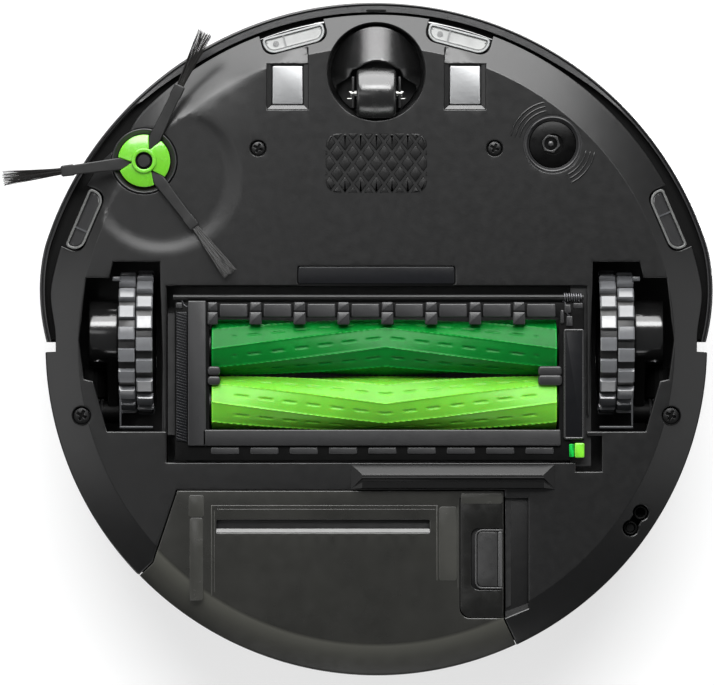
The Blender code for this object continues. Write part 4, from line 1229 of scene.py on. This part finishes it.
def roller(name, rise, finish, slot_phase):
    """A moulded rubber roller: twisted facets whose ridges meet in a chevron, with short slots."""
    x_range = span(name)[0]
    centre = middle(name)
    reach = half_span(name, 2)
    around, along = 208, 176
    turn = np.arange(around) * 2 * np.pi / around
    x = np.linspace(x_range[0] + 0.3, x_range[1] - 0.3, along)
    turn_grid, x_grid = np.meshgrid(turn, x)
    twist = rise * 1.08 * np.abs(x_grid - APEX_X) / 86.5
    phase = (turn_grid / (2 * np.pi) * ROLLER_FACETS - twist + 0.5) % 1.0 - 0.5
    facet = np.radians(22.5)
    flat = np.cos(facet) / np.cos((np.abs(phase) - 0.5) * 2 * facet)
    out = reach * (0.4 + 0.6 * flat) - 0.5 * (1 - np.clip(1 - np.abs(phase) / 0.04, 0, 1))
    away = 0.5 - np.abs(phase)
    lane = np.abs(((x_grid - APEX_X + slot_phase) / 12.0) % 1.0 - 0.5) * 12.0
    slots = ease((0.075 - away) / 0.03) * ease((3.3 - lane) / 0.5)
    out = out - 0.6 * slots * (np.abs(x_grid - APEX_X) < 76)
    y = centre.y + out * np.sin(turn_grid)
    z = centre.z - out * np.cos(turn_grid)
    loops = []
    for ring in range(along):
        if ring in (0, along - 1):
            end = x[ring] + (-0.3 if ring == 0 else 0.3)
            cap = [(end, centre.y + (r - 0.7) * s, centre.z - (r - 0.7) * c)
                   for r, s, c in zip(out[ring], np.sin(turn), np.cos(turn))]
            full = list(zip([x[ring]] * around, y[ring], z[ring]))
            loops += [cap, full] if ring == 0 else [full, cap]
        else:
            loops.append(list(zip(x_grid[ring], y[ring], z[ring])))
    bm = loft(bmesh.new(), loops)
    piece(name + "_rubber", bm, finish, name, [name], sharp=50.0)
    bm = bmesh.new()
    for start, end in ((x_range[0] - 3.6, x_range[0] - 0.4), (x_range[1] + 0.4, x_range[1] + 3.6)):
        profile = rounded([(0, start), (8.8, start), (9.4, end), (0, end)], 0.5)
        turned_solid(bm, profile, 40, along_x((0.0, centre.y, centre.z)))
    piece(name + "_ends", bm, "black_plastic", name)


def bars(name, finish, body, base, rows, fillet=0.5, corner=0.6, replaces=()):
    """Several rounded bars in one piece; each row is X, X, Y, Y and two heights over a base."""
    bm = bmesh.new()
    for x0, x1, y0, y1, z0, z1 in rows:
        slab(bm, rectangle((x0, x1), (y0, y1), corner, 3), (base + z0, base + z1), fillet)
    piece(name, bm, finish, body, replaces)


def roller_frame():
    body = "roller_frame"
    (x0, x1), (_, y1), (low, high) = span("roller_frame")
    top = high - low
    window_y = (-13.9, 42.5)
    teeth = [-82.5 + 22.0 * index for index in range(8)]
    key_x = span("frame_release_tab")[0][0] - 1.9
    outline = [(x0 + 0.2, -21.4), (x1 - 0.3, -21.4), (x1 - 0.3, 47.6), (key_x, 47.6), (key_x, y1),
               (x0 + 0.2, y1)]
    # The frame's base under the bars is near-black: painted shade.
    bm = skin([outline], [rectangle((-83.6, 91.4), window_y, 0.8)], [], [], level(low + 2.2),
              top - 1.6, 0.4)
    piece("frame_base", bm, "painted_shade_black", body, ["roller_frame"])
    rows = [(-94.4, -85.3, -22.2, 50.3, 0.1, top),
            (-87.0, 92.3, window_y[1] - 0.1, 50.3, 0.1, top)]
    rows += [(left + 4.0, right - 4.0, -20.7, -14.1, 1.0, top)
             for left, right in zip(teeth, teeth[1:] + [93.8])]
    bars("frame_bars", "frame_plastic", body, low, rows)
    rows = [(max(x - 3.1, -84.6), x + 3.1, -16.6, -10.3, 0.0, 3.0) for x in teeth]
    rows += [(max(x - 2.9, -84.6), x + 2.9, -21.6, -16.9, 1.3, 4.0) for x in teeth]
    bars("frame_teeth", "frame_plastic", body, low, rows, 0.7)
    rows = [(-84.6, -78.2, 10.6, 15.2, 0.6, 3.2), (-84.6, -78.2, 15.6, 20.0, 0.0, 2.6),
            (81.0, 93.0, 10.5, 15.4, 0.6, 3.2), (81.0, 93.0, 15.0, 20.2, 0.0, 2.6)]
    bars("frame_spacers", "frame_plastic", body, low, rows, 0.8, 1.6)
    pads = [-75.8 + 19.7 * index for index in range(9)]
    rows = [(x - 7.1, x + 7.1, 51.3, 54.6, 1.7, 3.4) for x in pads]
    bars("frame_pads", "frame_plastic", body, low, rows, 0.4)

    bm = bmesh.new()
    for index in range(46):
        y = -15.6 + 1.4 * index
        slat = [(-100.2, y - 1.1), (-95.0, y + 0.5), (-95.0, y + 1.1), (-100.2, y - 0.5)]
        slab(bm, slat, (low + 1.2, low + 2.6), 0.15, 2)
    slab(bm, rectangle((-100.3, -94.8), (-16.6, 48.0), 0.5), (low + 1.5, high), 0.3)
    piece("frame_grille", bm, "grille_plastic", body)
    panel = rectangle((93.8, x1 - 0.2), (-8.0, 47.2), 1.2, 4)
    bm = skin([panel], [inset(panel, 1.1)], [], [], level(low + 0.1), 3.5, 0.4)
    piece("frame_panel_rim", bm, "frame_gloss", body)
    bm = slab(bmesh.new(), inset(panel, 0.8), (low + 0.5, low + 3.4), 0.3)
    piece("frame_panel", bm, "grille_plastic", body)
    frame_hinge(body, x0, x1, low, top)
    frame_tab()
    # The second rib is a small pale grey tab that stands for a bright dash on the bay's edge: a
    # painted highlight.
    rows = [(-103.6, -101.9, 0.6, 34.3, 2.0, 4.5), (40.0, 47.4, 59.0, 59.9, 0.6, 2.0)]
    bars("bay_ribs", "grey_plastic", "chassis", BELLY_Z, rows, 0.3, 0.3)


def frame_hinge(body, x0, x1, low, top):
    """The rod that the frame turns on, its spring and the blocks that hold it."""
    y, z = -24.0, low + 2.4
    bm = rod(bmesh.new(), [(x0 - 0.6, y, z), (x1 - 0.6, y, z)], 1.35, 20)
    piece("frame_hinge_rod", bm, "pad_plastic", body, sharp=50.0)
    helix = []
    for step in range(90):
        turn = step * 0.55
        helix.append((93.6 + 9.0 * step / 89, y + 2.1 * math.cos(turn), z + 2.1 * math.sin(turn)))
    bm = rod(bmesh.new(), helix, 0.38)
    rod(bm, [(94.6, -22.0, z), (94.9, -17.0, z - 0.6), (97.5, -13.5, z - 0.4)], 0.4)
    rod(bm, [(-97.5, -22.4, z), (-96.4, -20.0, z), (-94.8, -19.2, z)], 0.4)
    piece("frame_hinge_spring", bm, "hinge_metal", body, sharp=50.0)
    rows = [(94.2, 97.6, -20.4, -16.2, 0.8, top), (98.6, 103.6, -21.2, -18.4, 1.6, top),
            (95.2, 98.4, -14.6, -9.4, 1.0, top), (92.2, 94.0, -17.6, -10.8, 0.9, top),
            (-100.4, -97.2, -21.4, -18.4, 1.2, top)]
    bars("frame_hinge_blocks", "frame_plastic", body, low, rows)


def frame_tab():
    (x0, x1), (y0, y1), (low, high) = span("frame_release_tab")
    rows = [(x0 - 0.2, x1 + 0.2, y0 - 0.1, y1 + 0.1, 0.0, high - low + 0.2)]
    bars("frame_tab_key", "lime_plastic", "frame_tab", low, rows, 0.6, 0.8, ["frame_release_tab"])
    rows = [(x0 - 2.9, x0 - 0.4, y0 + 0.4, y1 - 0.2, 0.9, high - low)]
    bars("frame_tab_side", "green_rubber", "frame_tab", low, rows, 0.4)


# Dust bin

def bin_surface(x, y):
    return BELLY_Z + bevel_rise(x, y)


def dust_bin():
    body = "dust_bin"
    plan = clip(subdivide(BIN_OUTLINE, 5.0), circle(BODY_RADIUS, 240))
    door = door_outline(0.35)
    spots = [(x, y) for x in range(-110, 70, 8) for y in range(80, 145, 8)]
    for radius in BEVEL_RADII:
        spots += arc(radius, 55, 145, 160)
    creases = [arc(radius, 55, 145, 150) for radius in CREASE_RADII]
    slot = rectangle(*BIN_SLOT, 0.6, 3)
    bm = skin([circle(BODY_RADIUS, 240), BIN_OUTLINE], [door, slot], creases, spots, bin_surface,
              2.0, 0.5)
    piece("bin_floor", bm, "smoky_plastic", body, ["dust_bin"], even=True)

    top = span("dust_bin")[2][1]
    heights = bin_surface(*np.array(plan).T)
    edge = [(*point, z) for point, z in zip(plan, heights + 1.2)]
    inner = [(*point, z) for point, z in zip(inset(plan, 2.0), heights + 1.6)]
    count = len(plan)
    start = min(range(count), key=lambda k: math.dist(plan[k], (BIN_LEFT, BIN_FRONT)))
    ring = [(start + k) % count for k in range(count)]
    ring = [k for k in ring if plan[k][1] > 73.5 or plan[k][0] < -99.0 or plan[k][0] > 63.0]
    loops = [[edge[k], (*edge[k][:2], top), (*inner[k][:2], top), inner[k]] for k in ring]
    bm = loft(bmesh.new(), loops)
    piece("bin_wall", bm, "smoky_plastic", body, sharp=30.0)
    bm = slab(bmesh.new(), inset(plan, 0.3), (top - 1.8, top + 0.05), 0.3)
    piece("bin_lid", bm, "smoky_plastic", body, sharp=40.0)
    upright = Matrix.Translation((0.0, BIN_FRONT, 0.0)) @ Matrix.Rotation(math.pi / 2, 4, "X")
    mouth = rectangle((-58.0, 28.0), (17.0, 32.0), 2.5)
    bm = skin([rectangle((-99.6, 63.6), (BELLY_Z + 0.8, top), 0.8)], [mouth], [], [],
              level(0.0), -2.0, 0.4)
    piece("bin_front", bm, "smoky_plastic", body, place=upright)
    rim = inset(mouth, -0.2)
    bm = skin([inset(rim, -2.2)], [rim], [], [], level(0.5), -1.2, 0.4)
    piece("bin_mouth_seal", bm, "brush_rubber", body, place=upright)
    bin_details(body)


def bin_details(body):
    """The slot, the ribs and the lighter strips that show in the bin's floor."""
    (x0, x1), (y0, y1) = BIN_SLOT
    z = BELLY_Z
    bm = bmesh.new()
    section = [(y1 + 0.3, z + 0.2), (y1 + 0.3, z + 3.0), (y1 - 2.0, z + 3.0), (y1 - 2.0, z + 0.9),
               (y1 - 0.2, z + 0.1)]
    loft(bm, [[(x, *point) for point in section] for x in (x0 - 0.2, x1 + 0.2)])
    # The lip takes a paler copy of the smoky plastic: a painted highlight along the slot.
    piece("bin_slot_lip", bm, "highlight_lip_plastic", body, sharp=20.0)
    rows = [(x0 - 1.5, x1 + 1.5, y0 - 1.5, y1 + 1.0, 3.4, 4.4)]
    bars("bin_slot_floor", "black_plastic", body, z, rows)
    rows = [(-94.1, -86.4, 75.2, 86.2, -0.22, 0.6), (-93.6, -86.9, 86.6, 128.0, -0.1, 0.6),
            (31.4, 40.4, 81.0, 118.0, -0.1, 0.6), (42.4, 63.4, 74.4, 79.6, -0.08, 0.6)]
    bars("bin_strips", "smoky_light", body, z, rows, 0.2, 1.2)
    rows = [(-82.9, -82.3, 80.5, 126.0, -0.16, 0.5), (-81.4, -81.0, 83.0, 124.0, -0.1, 0.5),
            (-82.9, 31.0, 80.3, 80.8, -0.16, 0.5), (-80.0, 29.5, 82.2, 82.6, -0.1, 0.5),
            (30.0, 30.7, 80.5, 118.0, -0.16, 0.5), (40.7, 41.1, 80.5, 122.0, -0.12, 0.5)]
    bars("bin_ribs", "smoky_light", body, z, rows, 0.15, 0.15)


def door_outline(room):
    x_range, y_range, _ = span("bin_door")
    points = rectangle(grown(x_range, room), grown(y_range, room))
    near = points[3]
    corner = arc(5.0, 90, 180, 6, (near[0] + 5.0, near[1] - 5.0))
    return points[:3] + corner


def bin_door():
    (x0, x1), y_range, (low, high) = span("door_release_tab")
    door_low, door_high = span("bin_door")[2]
    hole = rectangle((x0 - 2.1, 70.0), grown(y_range, 0.5), 3.9)
    surface = level(door_low + 0.15)
    bm = skin([door_outline(0.0)], [hole], [], [], surface, door_high - door_low, 0.4)
    piece("bin_door_plate", bm, "smoky_dark", "bin_door", ["bin_door"])
    rows = [(x0 - 2.0, x1 - 0.3, *grown(y_range, 2.0), 0.2, 1.0)]
    bars("bin_door_backing", "black_plastic", "bin_door", door_high, rows, 0.2)
    tab = rectangle((x0, x1 + 4.0), y_range, 3.6)
    for name, finish, shape, end, cutters, z, depth, replaces in (
            ("door_tab_rim", "tab_light", tab, x1, [inset(tab, 0.8)], low, 2.2, ()),
            ("door_tab_face", "tab_plastic", inset(tab, 1.2), x1 - 2.6, [], low + 0.25, 2.0,
             ["door_release_tab"])):
        field = rectangle((40.0, end), grown(y_range, 2.0))
        bm = skin([shape, field], cutters, [], [], level(z), depth, 0.2)
        piece(name, bm, finish, "door_tab", replaces)
    rows = [(x1 - 2.3, x1 - 0.1, *grown(y_range, -1.0), 0.05, high - low)]
    bars("door_tab_grip", "tab_light", "door_tab", low, rows)


# Upper casing

def side_walls():
    """Smooth walls of the round body, beside and above the dust bin."""
    bin_top = span("dust_bin")[2][1]
    eaves = TOP_Z - 11.0
    for name, start, end, low in (("left", 1.3, 64.9, 19.0), ("right", 136.2, 178.7, 19.0),
                                  ("rear", 64.9, 136.2, bin_top + 0.6)):
        section = [(0.0, low + 0.4), (0.3, low), (0.3, eaves - 1.2), (0.0, eaves - 0.5),
                   (-1.2, eaves), (-1.2, low)]
        steps = round((end - start) * 1.4)
        loops = []
        for step in range(steps + 1):
            turn = start + (end - start) * step / steps
            loops.append([(*polar(BODY_RADIUS + out, turn), z) for out, z in section])
        piece("side_wall_" + name, loft(bmesh.new(), loops), "wall_plastic", "chassis", sharp=30.0)
    bm = bmesh.new()
    for step in range(17):
        turn = 22.0 + 1.9 * step
        outline = rectangle((-0.6, 0.55), (-1.0, 1.0), 0.3)
        slab(bm, turned(outline, turn, polar(BODY_RADIUS, turn)), (36.0, 60.0), 0.4)
    piece("side_vents", bm, "gloss_black", "chassis", sharp=50.0)


def top_cover():
    buttons = {"clean": 17.0, "home": 7.0, "spot": 7.0}
    cutters = []
    for name in buttons:
        node = name + "_button"
        room = 4.3 if name == "clean" else 0.4
        cutters.append(circle(half_span(node, 0) + room, 64, middle(node).xy))

    def dome(x, y):
        radius = np.hypot(x, y)
        edge = np.clip((radius - 150.0) / (BODY_RADIUS - 150.0), 0.0, 1.0)
        round_off = TOP_Z - 10.6 * (1 - np.sqrt(np.maximum(1 - edge ** 2, 0.0)))
        groove = 0.5 * np.clip(1 - np.abs(radius - 118.0) / 0.8, 0.0, 1.0)
        return round_off - groove

    spots = scatter_rings(range(10, 112, 10), 10.0)
    spots += scatter_rings((116.8, 117.6, 118.4, 119.2), 4.0)
    spots += scatter_rings((124, 132, 140, *range(148, 161, 2), 161.5, 163, 164, 165), 4.0)
    creases = [circle(118.0, 240)]
    bm = skin([body_rim(88.0)], cutters, creases, spots, dome, -2.4, 0.3)
    piece("top_shell", bm, "top_plastic", "chassis", ["top_cover"], even=True)

    centre = middle("light_ring").xy
    high = span("light_ring")[2][1]
    profile = [(17.7, -2.0), (17.7, -0.3), (18.0, 0), (20.3, 0), (20.6, -0.3), (20.6, -2.0)]
    bm = turned_solid(bmesh.new(), rounded(lifted(profile, high), 0.2), 96, over(centre))
    piece("light_ring_lens", bm, "light_diffuser", "chassis", ["light_ring"])
    for name, radius in buttons.items():
        node = name + "_button"
        low, high = span(node)[2]
        hollow, finish = (0.7, "button_metal") if name == "clean" else (0.4, "gloss_black")
        profile = [(0, low), (radius - 0.3, low), (radius - 0.3, high - 0.9),
                   (radius - 0.6, high - 0.25), (radius - 1.2, high), (radius - 2.0, high - 0.1),
                   (radius * 0.5, high - hollow * 0.8), (0, high - hollow)]
        bm = turned_solid(bmesh.new(), profile, 72, over(middle(node)))
        piece(name + "_cap", bm, finish, node, [node], even=True)


# Stage, lights and camera

def one_way(name, grey, glow):
    """A matt surface, softly lit from within, that is only there for rays that meet its front."""
    finish = bpy.data.materials.new(name)
    finish.use_nodes = True
    tree = finish.node_tree
    tree.nodes.clear()
    out = add_node(tree, "ShaderNodeOutputMaterial")
    mix = add_node(tree, "ShaderNodeMixShader")
    matt = add_node(tree, "ShaderNodeBsdfDiffuse", in_Color=(grey, grey, grey, 1.0))
    clear = add_node(tree, "ShaderNodeBsdfTransparent")
    behind = add_node(tree, "ShaderNodeNewGeometry").outputs["Backfacing"]
    tree.links.new(behind, mix.inputs[0])
    lit = add_node(tree, "ShaderNodeEmission", in_Color=(1.0, 1.0, 1.0, 1.0), in_Strength=glow)
    both = add_node(tree, "ShaderNodeAddShader")
    tree.links.new(matt.outputs[0], both.inputs[0])
    tree.links.new(lit.outputs[0], both.inputs[1])
    tree.links.new(both.outputs[0], mix.inputs[1])
    tree.links.new(clear.outputs[0], mix.inputs[2])
    tree.links.new(mix.outputs[0], out.inputs["Surface"])
    return finish


def stage_part(name, corners, faces, finish):
    """A surface that only the camera sees; the lights pass it."""
    mesh = bpy.data.meshes.new(name)
    mesh.from_pydata(corners, [], faces)
    mesh.materials.append(finish)
    item = bpy.data.objects.new(name, mesh)
    bpy.context.scene.collection.objects.link(item)
    item.visible_diffuse = False
    item.visible_glossy = False
    item.visible_transmission = False
    item.visible_shadow = False


def plane(name, z, facing_up, finish):
    corners = raised(rectangle((-6.0, 6.0), (-6.0, 6.0)), z)
    stage_part(name, corners if facing_up else corners[::-1], [(0, 1, 2, 3)], finish)


def backdrop(radius, z_range, finish):
    """A round wall that faces inwards."""
    corners = [(x, y, z) for x, y in circle(radius, 96) for z in z_range]
    faces = []
    for step in range(96):
        near, far = 2 * step, 2 * ((step + 1) % 96)
        faces.append((near, near + 1, far + 1, far))
    stage_part("backdrop", corners, faces, finish)


def area_light(name, place, size, radiance):
    """A softbox of an even radiance that faces the origin, seen only through what it lights."""
    data = bpy.data.lights.new(name, "AREA")
    data.shape = "RECTANGLE"
    data.size, data.size_y = size
    data.energy = radiance * math.pi * size[0] * size[1]
    item = bpy.data.objects.new(name, data)
    item.location = place
    item.rotation_euler = (-Vector(place)).to_track_quat("-Z", "Y").to_euler()
    item.visible_camera = False
    bpy.context.scene.collection.objects.link(item)


# The place in metres, the size and the radiance of each softbox
LIGHTS = {
    "key_strip": ((0.0, -0.85, -1.36), (1.3, 0.45), 14.0),
    "front_panel": ((0.0, -1.75, -0.75), (2.6, 1.9), 6.5),
    "front_high_panel": ((0.0, -1.9, 0.7), (2.4, 1.3), 4.0),
    "side_panel_right": ((-1.9, 0.15, -1.0), (1.5, 1.5), 1.25),
    "side_panel_left": ((1.9, 0.15, -1.0), (1.5, 1.5), 0.85),
    "left_strip": ((-0.55, -0.1, -1.37), (0.25, 0.8), 1.5),
    "rear_fill": ((0.0, 1.9, -0.4), (1.8, 0.7), 2.2),
    "overhead": ((0.7, -0.9, 2.0), (1.6, 1.2), 9.0),
    "back_panel": ((-0.9, 1.8, 1.0), (1.8, 1.2), 4.0),
}


def studio():
    """A floor under the machine, and a table for it to lie on when it is seen from below."""
    plane("floor", 0.0, True, one_way("floor_paper", 0.5, 0.42))
    backdrop(5.9, (-4.0, 4.0), one_way("wall_paper", 0.5, 0.72))
    plane("table", TOP_Z * MM + 0.0012, False, one_way("table_paper", 0.34, 0.66))
    world = bpy.data.worlds.new("studio")
    world.use_nodes = True
    background = world.node_tree.nodes["Background"]
    background.inputs["Color"].default_value = (0.95, 0.97, 1.0, 1.0)
    background.inputs["Strength"].default_value = 0.13
    bpy.context.scene.world = world
    for name, (place, size, radiance) in LIGHTS.items():
        area_light(name, place, size, radiance)


def make_camera():
    data = bpy.data.cameras.new("main_camera")
    distance = 3.0
    view_width = 0.3594         # of the plane through the belly
    data.sensor_width = 36.0
    data.lens = data.sensor_width * (distance + 0.022) / view_width
    data.clip_start = 0.1
    item = bpy.data.objects.new("main_camera", data)
    item.location = (-0.0003, 0.002, -distance)
    item.rotation_euler = (math.pi, 0.0, 0.0)
    bpy.context.scene.collection.objects.link(item)
    bpy.context.scene.camera = item
    bpy.context.scene.view_settings.view_transform = "Standard"


def build():
    finish_kept_nodes()
    belly()
    pocket_floors()
    bumper()
    lenses()
    contacts()
    screws()
    floor_sensor()
    grip_pad()
    small_belly_parts()
    tyres()
    gearboxes()
    caster()
    side_brush()
    roller("front_roller", 1, "green_rubber", 0.0)
    roller("rear_roller", -1, "lime_rubber", 6.0)
    roller_frame()
    dust_bin()
    bin_door()
    side_walls()
    top_cover()
    studio()
    make_camera()


build()
